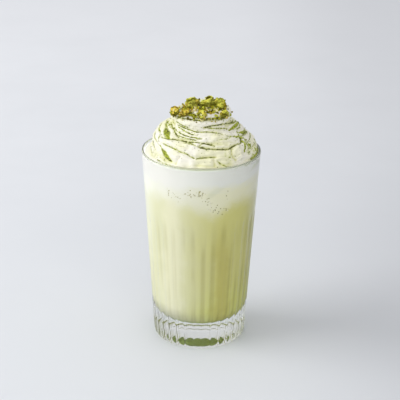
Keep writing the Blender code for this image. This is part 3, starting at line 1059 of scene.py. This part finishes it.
def blend_colours(tree, factor, first, second):
    """The mix of two colours."""
    made = add(tree, "ShaderNodeMix", {0: factor, 6: first, 7: second}, data_type="RGBA")
    return made.outputs[2]


# %% [markdown]
# Every finish ends in the same way. The colour is wired to the main shader, the roughness and the
# gloss are plain numbers on it, and fine grain is a bump, because it is too small to model.

# %% Helpers that begin and end a finish
def new_finish(name):
    """A new material, its node tree and its main shader."""
    material = bpy.data.materials.new(name)
    material.use_nodes = True
    return material, material.node_tree, material.node_tree.nodes["Principled BSDF"]


def set_surface(tree, shader, base, roughness, gloss=0.5):
    """Wires the colour, and sets how rough and how glossy the surface is."""
    tree.links.new(base, shader.inputs["Base Color"])
    shader.inputs["Roughness"].default_value = roughness
    shader.inputs["Specular IOR Level"].default_value = gloss


def set_bump(tree, shader, height, strength, depth):
    """Roughens the surface's shading by a pattern of heights."""
    made = add(tree, "ShaderNodeBump", {"Height": height, "Strength": strength, "Distance": depth})
    tree.links.new(made.outputs[0], shader.inputs["Normal"])


def put_on(piece, material):
    """Gives a piece its finish, and prints how many nodes the finish has."""
    piece.data.materials.clear()
    piece.data.materials.append(material)
    print(f"{piece.name}: {material.name}, {len(material.node_tree.nodes)} nodes")


# %% [markdown]
# ## The glass
#
# Pressed glass is clear, and its colour is a darker green in a narrow band at the rim. The main shader
# bends the light as glass does. For shadow rays the material turns plain transparent instead, so that
# the lamps shine on the drink through the wall without slow, grainy caustics.

# %% The glass's finish
CLEAR = colour(0.97, 0.985, 0.975)
RIM_GREEN = colour(0.50, 0.55, 0.36)
GLASS_SHADOW = colour(0.95, 0.97, 0.96)
GLASS_BENDING = 1.5


def clear_glass():
    """Clear glass, greener at the rim, that lets lamps shine through."""
    material, tree, shader = new_finish("clear_pressed_glass")
    height = axes_of(tree, own_place(tree))[2]
    rim = step_between(tree, height, GLASS_HEIGHT - 1.2 * MM, GLASS_HEIGHT - 0.3 * MM)
    set_surface(tree, shader, blend_colours(tree, rim, CLEAR, RIM_GREEN), 0.0)
    shader.inputs["IOR"].default_value = GLASS_BENDING
    shader.inputs["Transmission Weight"].default_value = 1.0
    through = add(tree, "ShaderNodeBsdfTransparent", {"Color": GLASS_SHADOW})
    both = add(tree, "ShaderNodeMixShader", {
        0: add(tree, "ShaderNodeLightPath").outputs["Is Shadow Ray"],
        1: shader.outputs[0],
        2: through.outputs[0],
    })
    tree.links.new(both.outputs[0], tree.nodes["Material Output"].inputs["Surface"])
    return material


put_on(tumbler, clear_glass())

# %% [markdown]
# ## What shows through the glass
#
# Drink, froth and cream run into one another behind the glass, so they share one group of nodes. It
# takes a place and its height over the two edges, and blends from green drink to pale froth to white
# cream with ragged edges. The left side, where the window's light scatters into the drink, is painted
# paler as painted light, and the right stays greener. A pale and an olive column stand where it was
# poured. The flutes gather the light, which leaves a soft dark line behind each ridge.

# %% Colours of the drink
# Painted light: the drink's paler colour on its lit left side.
DRINK_LIT_SIDE = colour(0.80, 0.79, 0.55)
DRINK_GREEN = colour(0.80, 0.77, 0.295)
DRINK_LOW = colour(0.79, 0.80, 0.23)
DRINK_PALE = colour(0.92, 0.89, 0.68)
DRINK_OLIVE = colour(0.62, 0.56, 0.14)
# Darker green for the drink just above the glass floor.
DRINK_NEAR_FLOOR = colour(0.24, 0.34, 0.015)
# Painted reflection: the pale colour of the drink along the glass's far left and right edges.
MILK_EDGE_REFLECTION = colour(0.95, 0.95, 0.82)
RIDGE_SHADE = colour(0.34, 0.30, 0.05)
PALE_COLUMN = -0.0130
OLIVE_COLUMN = 0.0205


def painted_edge_reflection(tree, x):
    """How much is painted paler along the far left and the far right, as painted reflection at the glass's
    edges.
    """
    left = times(tree, step_between(tree, x, -0.0300, -0.0362), 0.50)
    right = times(tree, step_between(tree, x, 0.0300, 0.0360), 0.28)
    return math_of(tree, "MAXIMUM", left, right)


def ridge_lines(tree, place, lit_side_pale):
    """Soft lines behind the ridges, uneven along their length and weaker on the lit side painted pale."""
    x, y, z = axes_of(tree, place)
    turn = minus(tree, math_of(tree, "ARCTAN2", y, x), FLUTE_TURN)
    flutes = times(tree, turn, FLUTE_COUNT / math.tau)
    from_ridge = math_of(tree, "PINGPONG", plus(tree, flutes, 0.5), 0.5)
    line = step_between(tree, from_ridge, 0.12, 0.52)
    fluted = step_between(tree, z, FLUTE_TOP + 0.002, FLUTE_TOP - 0.016)
    uneven = step_between(tree, noise_at(tree, squeezed(tree, place, 0.15), 110.0, 2.0, 0.5), 0.30, 0.62)
    return times(tree, line, fluted, uneven, minus(tree, 0.42, times(tree, lit_side_pale, 0.22)))


def drink_colour(tree, place, across, lit_side_pale, edge_reflection):
    """Painted paler on the lit left, greener at the right and lower down, and darker green just above the
    glass floor.
    """
    z = axes_of(tree, place)[2]
    green = blend_colours(tree, step_between(tree, z, 0.070, 0.018), DRINK_GREEN, DRINK_LOW)
    body = blend_colours(tree, lit_side_pale, green, DRINK_LIT_SIDE)
    pale = times(tree, stripe(tree, across, PALE_COLUMN, 0.0095, 0.0020), 0.6)
    body = blend_colours(tree, pale, body, DRINK_PALE)
    olive = stripe(tree, across, OLIVE_COLUMN, 0.0085, 0.0010)
    olive = times(tree, olive, step_between(tree, z, 0.112, 0.062), 0.75)
    body = blend_colours(tree, olive, body, DRINK_OLIVE)
    # Painted reflection: paler along the far edges of the glass.
    body = blend_colours(tree, edge_reflection, body, MILK_EDGE_REFLECTION)
    # Darker green just above the glass floor.
    near_floor = step_between(tree, z, BASE_THICKNESS + 4.5 * MM, BASE_THICKNESS + 0.2 * MM)
    body = blend_colours(tree, times(tree, near_floor, 0.85), body, DRINK_NEAR_FLOOR)
    return blend_colours(tree, ridge_lines(tree, place, lit_side_pale), body, RIDGE_SHADE)


print(f"the ridges repeat every {360 / FLUTE_COUNT:.2f} degrees")

# %% [markdown]
# The froth has a pale slanting fold, where the pour broke through it. High up at one side a thin
# smear of tea shows where cream has slid down the glass, and it is painted darker as painted shade.

# %% The fold in the froth and the smear
FOLD = colour(0.88, 0.88, 0.68)
FOLD_MIDDLE = (0.0130, 0.1270)
FOLD_SLOPE = 0.75
# A smear of tea, darkened with painted shade.
SMEAR_AND_SHADE = colour(0.56, 0.60, 0.34)


def froth_fold(tree, x, z):
    """The pale fold that slants up to the right."""
    lift = times(tree, minus(tree, x, 0.0125), FOLD_SLOPE)
    fold = stripe(tree, minus(tree, z, lift), FOLD_MIDDLE[1], 0.0038, 0.0010)
    return times(tree, fold, stripe(tree, x, FOLD_MIDDLE[0], 0.0110, 0.0060), 0.75)


def smear_and_shade_at(tree, streaky, x, z):
    """The patchy smear high up at the right, painted darker as painted shade."""
    patches = step_between(tree, noise_at(tree, streaky, 120.0, 3.0, 0.6, 0.8), 0.46, 0.60)
    right = step_between(tree, x, 0.018, 0.030)
    return times(tree, patches, right, step_between(tree, z, 0.133, 0.139), 0.5)


print(f"the fold crosses {FOLD_MIDDLE[1] * 1000:.0f} mm above the floor")

# %% [markdown]
# The group puts the layers together, from the bottom up. Its sockets are named, so that each finish
# that uses it says plainly what it hands in. It hands out a colour only, and the shader itself stays
# in the finish.

# %% The group of nodes for all that lies behind the glass
# Painted light: the froth's colour on its lit left side.
FROTH_LIT_SIDE = colour(0.91, 0.90, 0.80)
FROTH_GREEN = colour(0.99, 0.97, 0.74)
# Painted reflection: the froth's pale colour along the glass's far edges.
FOAM_EDGE_REFLECTION = colour(1.0, 1.0, 0.92)
CREAM_WET = colour(1.0, 1.0, 0.95)
CREAM_LEFT = colour(0.90, 0.88, 0.84)


def group_of(name, inputs, output):
    """A node group with named inputs and one named output, given as pairs of name and kind."""
    tree = bpy.data.node_groups.new(name, "ShaderNodeTree")
    for socket, kind in inputs:
        tree.interface.new_socket(socket, in_out="INPUT", socket_type=kind)
    tree.interface.new_socket(output[0], in_out="OUTPUT", socket_type=output[1])
    return tree, tree.nodes.new("NodeGroupInput"), tree.nodes.new("NodeGroupOutput")


def layers_group():
    """Colour of the drink, froth and cream behind the glass."""
    inputs = (
        ("Place", "NodeSocketVector"),
        ("Above Drink", "NodeSocketFloat"),
        ("Above Froth", "NodeSocketFloat"),
    )
    tree, given, result = group_of("layers_behind_glass", inputs, ("Color", "NodeSocketColor"))
    place, above_drink, above_froth = given.outputs[0], given.outputs[1], given.outputs[2]
    x, _, z = axes_of(tree, place)
    across = plus(tree, x, times(tree, noise_at(tree, place, 55.0, 3.0, 0.55, 0.4), 0.012))
    # Painted light: 1 on the lit left, where drink and froth are painted paler, and 0 on the right.
    lit_side_pale = step_between(tree, across, 0.024, -0.016)
    # Painted reflection at the far left and right edges of the glass.
    edge_reflection = painted_edge_reflection(tree, x)

    body = drink_colour(tree, place, across, lit_side_pale, edge_reflection)
    foam = blend_colours(tree, lit_side_pale, FROTH_GREEN, FROTH_LIT_SIDE)
    foam = blend_colours(tree, edge_reflection, foam, FOAM_EDGE_REFLECTION)
    ragged = times(tree, noise_at(tree, place, 160.0, 4.0, 0.6), 0.008)
    into_foam = step_between(tree, plus(tree, above_drink, ragged), -0.006, 0.008)
    below_cream = blend_colours(tree, into_foam, body, foam)
    below_cream = blend_colours(tree, froth_fold(tree, x, z), below_cream, FOLD)

    streaky = squeezed(tree, place, 2.2)
    streaks = times(tree, noise_at(tree, streaky, 75.0, 4.0, 0.55, 1.2), 0.010)
    into_cream = step_between(tree, plus(tree, above_froth, streaks), -0.0010, 0.0085)
    wet_cream = blend_colours(tree, step_between(tree, x, -0.030, 0.004), CREAM_LEFT, CREAM_WET)
    layered = blend_colours(tree, into_cream, below_cream, wet_cream)
    # Painted shade: the smear high up at the right is painted darker.
    smeared_and_shaded = blend_colours(tree, smear_and_shade_at(tree, streaky, x, z), layered, SMEAR_AND_SHADE)
    tree.links.new(smeared_and_shaded, result.inputs[0])
    return tree


LAYERS = layers_group()
print(f"{LAYERS.name}: {len(LAYERS.nodes)} nodes in the group")

# %% [markdown]
# The drink and the froth use nothing but the group. They differ only in how rough they are: froth
# scatters the light a little more. Neither is glossy, since the glass in front of them is.

# %% Finishes of the drink and the froth
def layers_colour(tree, place):
    """The shared colour behind the glass, at a place on this piece."""
    made = add(tree, "ShaderNodeGroup", node_tree=LAYERS)
    for socket, value in enumerate((place, painted(tree, "above_drink"), painted(tree, "above_froth"))):
        tree.links.new(value, made.inputs[socket])
    return made.outputs[0]


def wet_finish(name, roughness):
    """A wet layer behind the glass."""
    material, tree, shader = new_finish(name)
    set_surface(tree, shader, layers_colour(tree, own_place(tree)), roughness, 0.1)
    return material


put_on(drink, wet_finish("matcha_milk", 0.4))
put_on(froth, wet_finish("milk_froth", 0.5))

# %% [markdown]
# ## The cream's finish
#
# Cream is warm white, and its hollows are painted darker and yellower, as painted shade for the light
# that bounces about in them. The painted powder is broken up by fine noise, so that it ends in specks
# as a sprinkled powder does, and a thin haze of it surrounds the thick parts. Below the rim the shared
# colour takes over.

# %% The cream's finish
CREAM = colour(0.93, 0.90, 0.79)
CREAM_DEEP = colour(0.88, 0.86, 0.60)
# Painted shade: the colour of the cream's hollows.
CREAM_HOLLOW_SHADE = colour(0.72, 0.72, 0.30)
# Dark powder, and painted shade for powder deep in the creases.
POWDER_DARK_AND_SHADE = colour(0.085, 0.085, 0.008)
POWDER_BRIGHT = colour(0.50, 0.57, 0.035)
SPECK_DEPTH = 0.3 * MM


def powder_colour(tree, place, dust, hollow):
    """Powdered tea, darker where it lies thick, and with painted shade where it lies deep in the hollows.
    """
    # Painted shade: powder deep in the hollows is pushed towards the dark colour.
    low = plus(tree, times(tree, hollow, 0.16), times(tree, step_between(tree, dust, 0.8, 1.2), 0.22))
    speckle = plus(tree, noise_at(tree, place, 1300.0, 2.0, 0.6), low)
    return blend_colours(tree, step_between(tree, speckle, 0.50, 0.66), POWDER_BRIGHT, POWDER_DARK_AND_SHADE)


def cream_finish():
    """Whipped cream with powdered tea in its creases and in pinches."""
    material, tree, shader = new_finish("dusted_whipped_cream")
    place = own_place(tree)
    dust = painted(tree, "dust")
    hollow = painted(tree, "hollow")
    warm = step_between(tree, noise_at(tree, place, 45.0, 2.0, 0.5), 0.4, 0.65)
    # Painted shade: the hollows are painted darker and yellower.
    deep = times(tree, step_between(tree, hollow, 0.1, 0.9), 0.50)
    plain = blend_colours(tree, deep, blend_colours(tree, warm, CREAM, CREAM_DEEP), CREAM_HOLLOW_SHADE)

    grain = times(tree, noise_at(tree, place, 1900.0, 3.0, 0.7), 0.9)
    cloud = noise_at(tree, place, 260.0, 3.0, 0.6)
    rough = plus(tree, grain, times(tree, cloud, 0.7))
    amount = step_between(tree, plus(tree, dust, rough), 1.05, 1.55)
    haze = step_between(tree, plus(tree, dust, times(tree, cloud, 0.25)), 0.10, 0.70)
    tinted = blend_colours(tree, times(tree, haze, 0.34), plain, POWDER_BRIGHT)
    dusted = blend_colours(tree, amount, tinted, powder_colour(tree, place, dust, hollow))
    final = blend_colours(tree, painted(tree, "under_glass"), dusted, layers_colour(tree, place))
    set_surface(tree, shader, final, 0.5, 0.3)
    set_bump(tree, shader, plus(tree, noise_at(tree, place, 700.0, 4.0, 0.6), amount), 0.3, SPECK_DEPTH)
    return material


put_on(cream, cream_finish())

# %% [markdown]
# ## The finish of the nuts
#
# Pistachio flesh is yellow-green and its skin is brown, and a chopped piece shows some of both. Noise
# lays the skin on in patches. Splits and undersides are dark, because hardly any light gets there,
# and so is the foot of the nuts that stand close together in the middle. Three mixes are made:
# mostly flesh, flesh with an olive cast, and mostly skin.

# %% The nuts' finishes
NUT_FLESH = (colour(0.24, 0.25, 0.001), colour(0.93, 0.93, 0.15))
NUT_SKIN = (colour(0.31, 0.185, 0.001), colour(0.97, 0.80, 0.12))
NUT_OLIVE = colour(0.20, 0.21, 0.003)
NUT_SHADE = colour(0.08, 0.065, 0.0)
NUT_FOOT = 0.1788
NUT_FOOT_TOP = 0.1808
NUT_INNER = 0.0125
NUT_GRAIN_DEPTH = 0.3 * MM
BROWN_NUTS = ("pistachio_left", "front_left", "back_left")


def nut_shade(tree, place, foot_shade):
    """Where a nut is dark: in its splits, underneath, and round the foot of the inner ones."""
    facing_up = axes_of(tree, add(tree, "ShaderNodeTexCoord").outputs["Normal"])[2]
    under = step_between(tree, facing_up, 0.35, -0.55)
    split = step_between(tree, noise_at(tree, place, 210.0, 3.0, 0.6, 0.8), 0.52, 0.62)
    split = times(tree, split, step_between(tree, facing_up, 1.0, 0.2))
    flat = squeezed(tree, place, 0)
    off_axis = add(tree, "ShaderNodeVectorMath", {0: flat}, operation="LENGTH").outputs["Value"]
    inner = step_between(tree, off_axis, NUT_INNER + 2.5 * MM, NUT_INNER)
    low = step_between(tree, axes_of(tree, place)[2], NUT_FOOT_TOP, NUT_FOOT)
    foot = times(tree, low, foot_shade, inner, step_between(tree, facing_up, 0.95, 0.40))
    dark = math_of(tree, "MAXIMUM", math_of(tree, "MAXIMUM", split, foot), under)
    return times(tree, dark, 0.85)


def nut_finish(name, skin_low, skin_high, olive, foot_shade):
    """Chopped pistachio, with skin where the noise is above a level, and crumbly grain."""
    material, tree, shader = new_finish(name)
    place = own_place(tree)
    skin = step_between(tree, noise_at(tree, place, 240.0, 2.0, 0.5), skin_low, skin_high)
    pale = step_between(tree, noise_at(tree, place, 330.0, 3.0, 0.6), 0.34, 0.64)
    flesh = blend_colours(tree, pale, *NUT_FLESH)
    mixed = blend_colours(tree, skin, flesh, blend_colours(tree, pale, *NUT_SKIN))
    mixed = blend_colours(tree, olive, mixed, NUT_OLIVE)
    shaded = blend_colours(tree, nut_shade(tree, place, foot_shade), mixed, NUT_SHADE)
    set_surface(tree, shader, shaded, 0.6, 0.15)
    set_bump(tree, shader, pale, 0.6, NUT_GRAIN_DEPTH)
    return material


green_nut = nut_finish("pistachio_flesh", 0.54, 0.64, 0.0, 0.85)
olive_nut = nut_finish("pistachio_olive_flesh", 0.48, 0.60, 0.30, 0.75)
brown_nut = nut_finish("pistachio_skin", 0.34, 0.46, 0.0, 0.0)
for nut in nuts:
    is_brown = nut.name.endswith(BROWN_NUTS)
    is_olive = nut.name.endswith("right")
    put_on(nut, brown_nut if is_brown else olive_nut if is_olive else green_nut)

# %% [markdown]
# ## The finishes of the small things
#
# A crumb is too small to show flesh and skin at once, so each has one tone, which was painted on it
# when it was dropped: dark, green, brown or pale. The grains are a little lighter or darker by noise.
# A bubble has a painted highlight in the middle and painted shade round its rim, and some have painted
# shade all over.

# %% The finishes of crumbs, powder and bubbles
CRUMB_DARK = colour(0.13, 0.115, 0.003)
CRUMB_GREEN = colour(0.48, 0.49, 0.03)
CRUMB_BROWN = colour(0.42, 0.29, 0.02)
CRUMB_PALE = colour(0.86, 0.80, 0.38)
GRAIN_DARK = colour(0.085, 0.085, 0.012)
GRAIN_BRIGHT = colour(0.30, 0.36, 0.03)
# Painted highlight and painted shade for the bubbles.
BUBBLE_HIGHLIGHT = colour(0.99, 0.98, 0.86)
BUBBLE_SHADE = colour(0.34, 0.30, 0.05)


def crumb_finish():
    """Crumbs of pistachio: some dark, some green, some brown, and some pale inside out."""
    material, tree, shader = new_finish("pistachio_crumb")
    mottled = minus(tree, noise_at(tree, own_place(tree), 900.0, 2.0, 0.5), 0.5)
    tone = plus(tree, painted(tree, "tone"), times(tree, mottled, 0.4))
    shade = blend_colours(tree, step_between(tree, tone, 0.25, 0.45), CRUMB_DARK, CRUMB_GREEN)
    shade = blend_colours(tree, step_between(tree, tone, 0.58, 0.70), shade, CRUMB_BROWN)
    shade = blend_colours(tree, step_between(tree, tone, 0.80, 0.90), shade, CRUMB_PALE)
    set_surface(tree, shader, shade, 0.6, 0.15)
    return material


def powder_finish():
    """Powdered tea in loose grains, each a little lighter or darker."""
    material, tree, shader = new_finish("tea_powder")
    light = step_between(tree, noise_at(tree, own_place(tree), 1100.0, 1.0, 0.5), 0.35, 0.65)
    set_surface(tree, shader, blend_colours(tree, light, GRAIN_DARK, GRAIN_BRIGHT), 0.8)
    return material


def bubble_finish():
    """A bubble's skin: a painted highlight in the middle, painted shade round its rim, and some painted
    dark all over.
    """
    material, tree, shader = new_finish("froth_bubble")
    # Painted highlight in the middle and painted shade round the rim; some bubbles are painted dark all
    # over.
    rim = add(tree, "ShaderNodeLayerWeight", {0: 0.45}).outputs["Facing"]
    dark = plus(tree, rim, step_between(tree, painted(tree, "tone"), 0.40, 0.80))
    skin = blend_colours(tree, step_between(tree, dark, 0.30, 0.90), BUBBLE_HIGHLIGHT, BUBBLE_SHADE)
    set_surface(tree, shader, skin, 0.5, 0.1)
    return material


put_on(crumbs, crumb_finish())
put_on(grains, powder_finish())
put_on(bubbles, bubble_finish())

# %% [markdown]
# ## Joining the imported model
#
# Each piece is listed with the imported solid that it stands for and a finish of the record, which is
# listed only. Each rides on a body, and its solid is hidden. The drink is one body, so all pieces ride
# on the root. The solids that were replaced stay in the imported model, where they still have weight
# and can be touched.

# %% Ride and replace
for piece, node, slot in (
    (tumbler, "tumbler", "clear_glass"),
    (drink, "matcha_drink", "matcha_milk"),
    (froth, "froth", "milk_froth"),
    (bubbles, "froth", "milk_froth"),
    (cream, "whipped_cream", "cream"),
    (grains, "whipped_cream", "cream"),
    (crumbs, "whipped_cream", "pistachio"),
):
    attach(piece, "root")
    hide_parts(node)
for nut, node in zip(nuts, nut_nodes):
    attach(nut, "root")
    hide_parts(node)
print(f"{7 + len(nuts)} pieces ride on the root")

# %% [markdown]
# ## The floor
#
# The studio floor is a large pale disc, a hair below the foot so that the two don't flicker. It is
# painted paler towards the back, as painted light from a bright room, and darker at the right, as
# painted shade away from the window.

# %% Lay the floor
FLOOR_RADIUS = 6.0
FLOOR_DROP = 0.0002
FLOOR_NEAR = colour(0.742, 0.762, 0.795)
# Painted light: the floor's colour at the back.
FLOOR_FAR_LIT = colour(0.87, 0.885, 0.92)
# Painted shade: the floor's colour at the right.
FLOOR_SHADE = colour(0.54, 0.55, 0.58)


def floor_finish():
    """Pale matt floor, painted paler from near to far and darker from left to right, as painted light and
    shade.
    """
    material, tree, shader = new_finish("studio_floor")
    place = own_place(tree)
    x, y, _ = axes_of(tree, place)
    cloud = times(tree, noise_at(tree, place, 9.0, 4.0, 0.55), 0.5)
    # Painted light towards the back.
    far = step_between(tree, plus(tree, y, cloud), 0.15, 1.35)
    pale = blend_colours(tree, far, FLOOR_NEAR, FLOOR_FAR_LIT)
    near = times(tree, step_between(tree, y, 0.45, -0.05), 0.55)
    # Painted shade at the right, stronger towards the front.
    right_shade = times(tree, step_between(tree, x, 0.02, 0.26), plus(tree, near, 0.34))
    set_surface(tree, shader, blend_colours(tree, right_shade, pale, FLOOR_SHADE), 0.7, 0.1)
    return material


bpy.ops.object.select_all(action="DESELECT")
bpy.ops.mesh.primitive_circle_add(
    vertices=128, radius=FLOOR_RADIUS, fill_type="NGON", location=(0, 0, -FLOOR_DROP)
)
floor = bpy.context.object
floor.name = "studio_floor"
put_on(floor, floor_finish())

# %% [markdown]
# ## The light
#
# Soft daylight comes from a window high at the left, and a weaker fill from the front keeps the
# shadows open. Both lamps are large, which makes their shadows soft, and the pale world adds a
# little light from all round.

# %% Set up the light
AIR_COLOUR = colour(0.98, 0.985, 1.0)
AIR_STRENGTH = 0.67


def softbox(name, place, target, size, power):
    """A large rectangular lamp aimed at a place."""
    bpy.ops.object.light_add(type="AREA", location=place)
    lamp = bpy.context.object
    lamp.name = name
    lamp.data.shape = "RECTANGLE"
    lamp.data.size, lamp.data.size_y = size
    lamp.data.energy = power
    aim = Vector(target) - Vector(place)
    lamp.rotation_euler = aim.to_track_quat("-Z", "Y").to_euler()
    print(f"{name}: {power:.0f} W, {aim.length:.2f} m away")


world = bpy.data.worlds.new("studio")
bpy.context.scene.world = world
world.use_nodes = True
world.node_tree.nodes["Background"].inputs["Color"].default_value = AIR_COLOUR
world.node_tree.nodes["Background"].inputs["Strength"].default_value = AIR_STRENGTH
softbox("window", (-1.40, -0.15, 1.15), (0, 0, 0.08), (1.2, 1.2), 17.0)
softbox("front_fill", (0.25, -1.60, 0.80), (0, 0, 0.10), (1.4, 1.0), 5.0)

# %% [markdown]
# ## The camera
#
# A long lens from nearly a metre away keeps the glass upright in the frame, with little perspective.
# It looks down enough to show the rim as an open ring round the cream, and is rolled by a little
# more than half a degree, as a camera held in a hand is.

# %% Set up the camera
CAMERA_PLACE = Vector((0.0, -0.830, 0.4459))
CAMERA_TARGET = Vector((-0.0005, 0.0, 0.1032))
CAMERA_ROLL = math.radians(0.64)
CAMERA_LENS = 112.8
CAMERA_SENSOR = 36.0
CAMERA_REACH = 50.0

bpy.ops.object.camera_add(location=CAMERA_PLACE)
camera = bpy.context.object
camera.name = "portrait_camera"
camera.data.lens = CAMERA_LENS
camera.data.sensor_width = CAMERA_SENSOR
camera.data.clip_end = CAMERA_REACH
aim = (CAMERA_TARGET - CAMERA_PLACE).to_track_quat("-Z", "Y").to_matrix()
camera.rotation_euler = (aim @ Matrix.Rotation(CAMERA_ROLL, 3, "Z")).to_euler()
bpy.context.scene.camera = camera
bpy.context.scene.view_settings.view_transform = "Standard"
print(f"the camera is {(CAMERA_TARGET - CAMERA_PLACE).length:.3f} m from the drink")

# %% [markdown]
# ## The last step
#
# Last, the scene is updated, so that every piece stands where it was put. Dressing the drink must not
# change its size.

# %% Update the scene
bpy.context.view_layer.update()
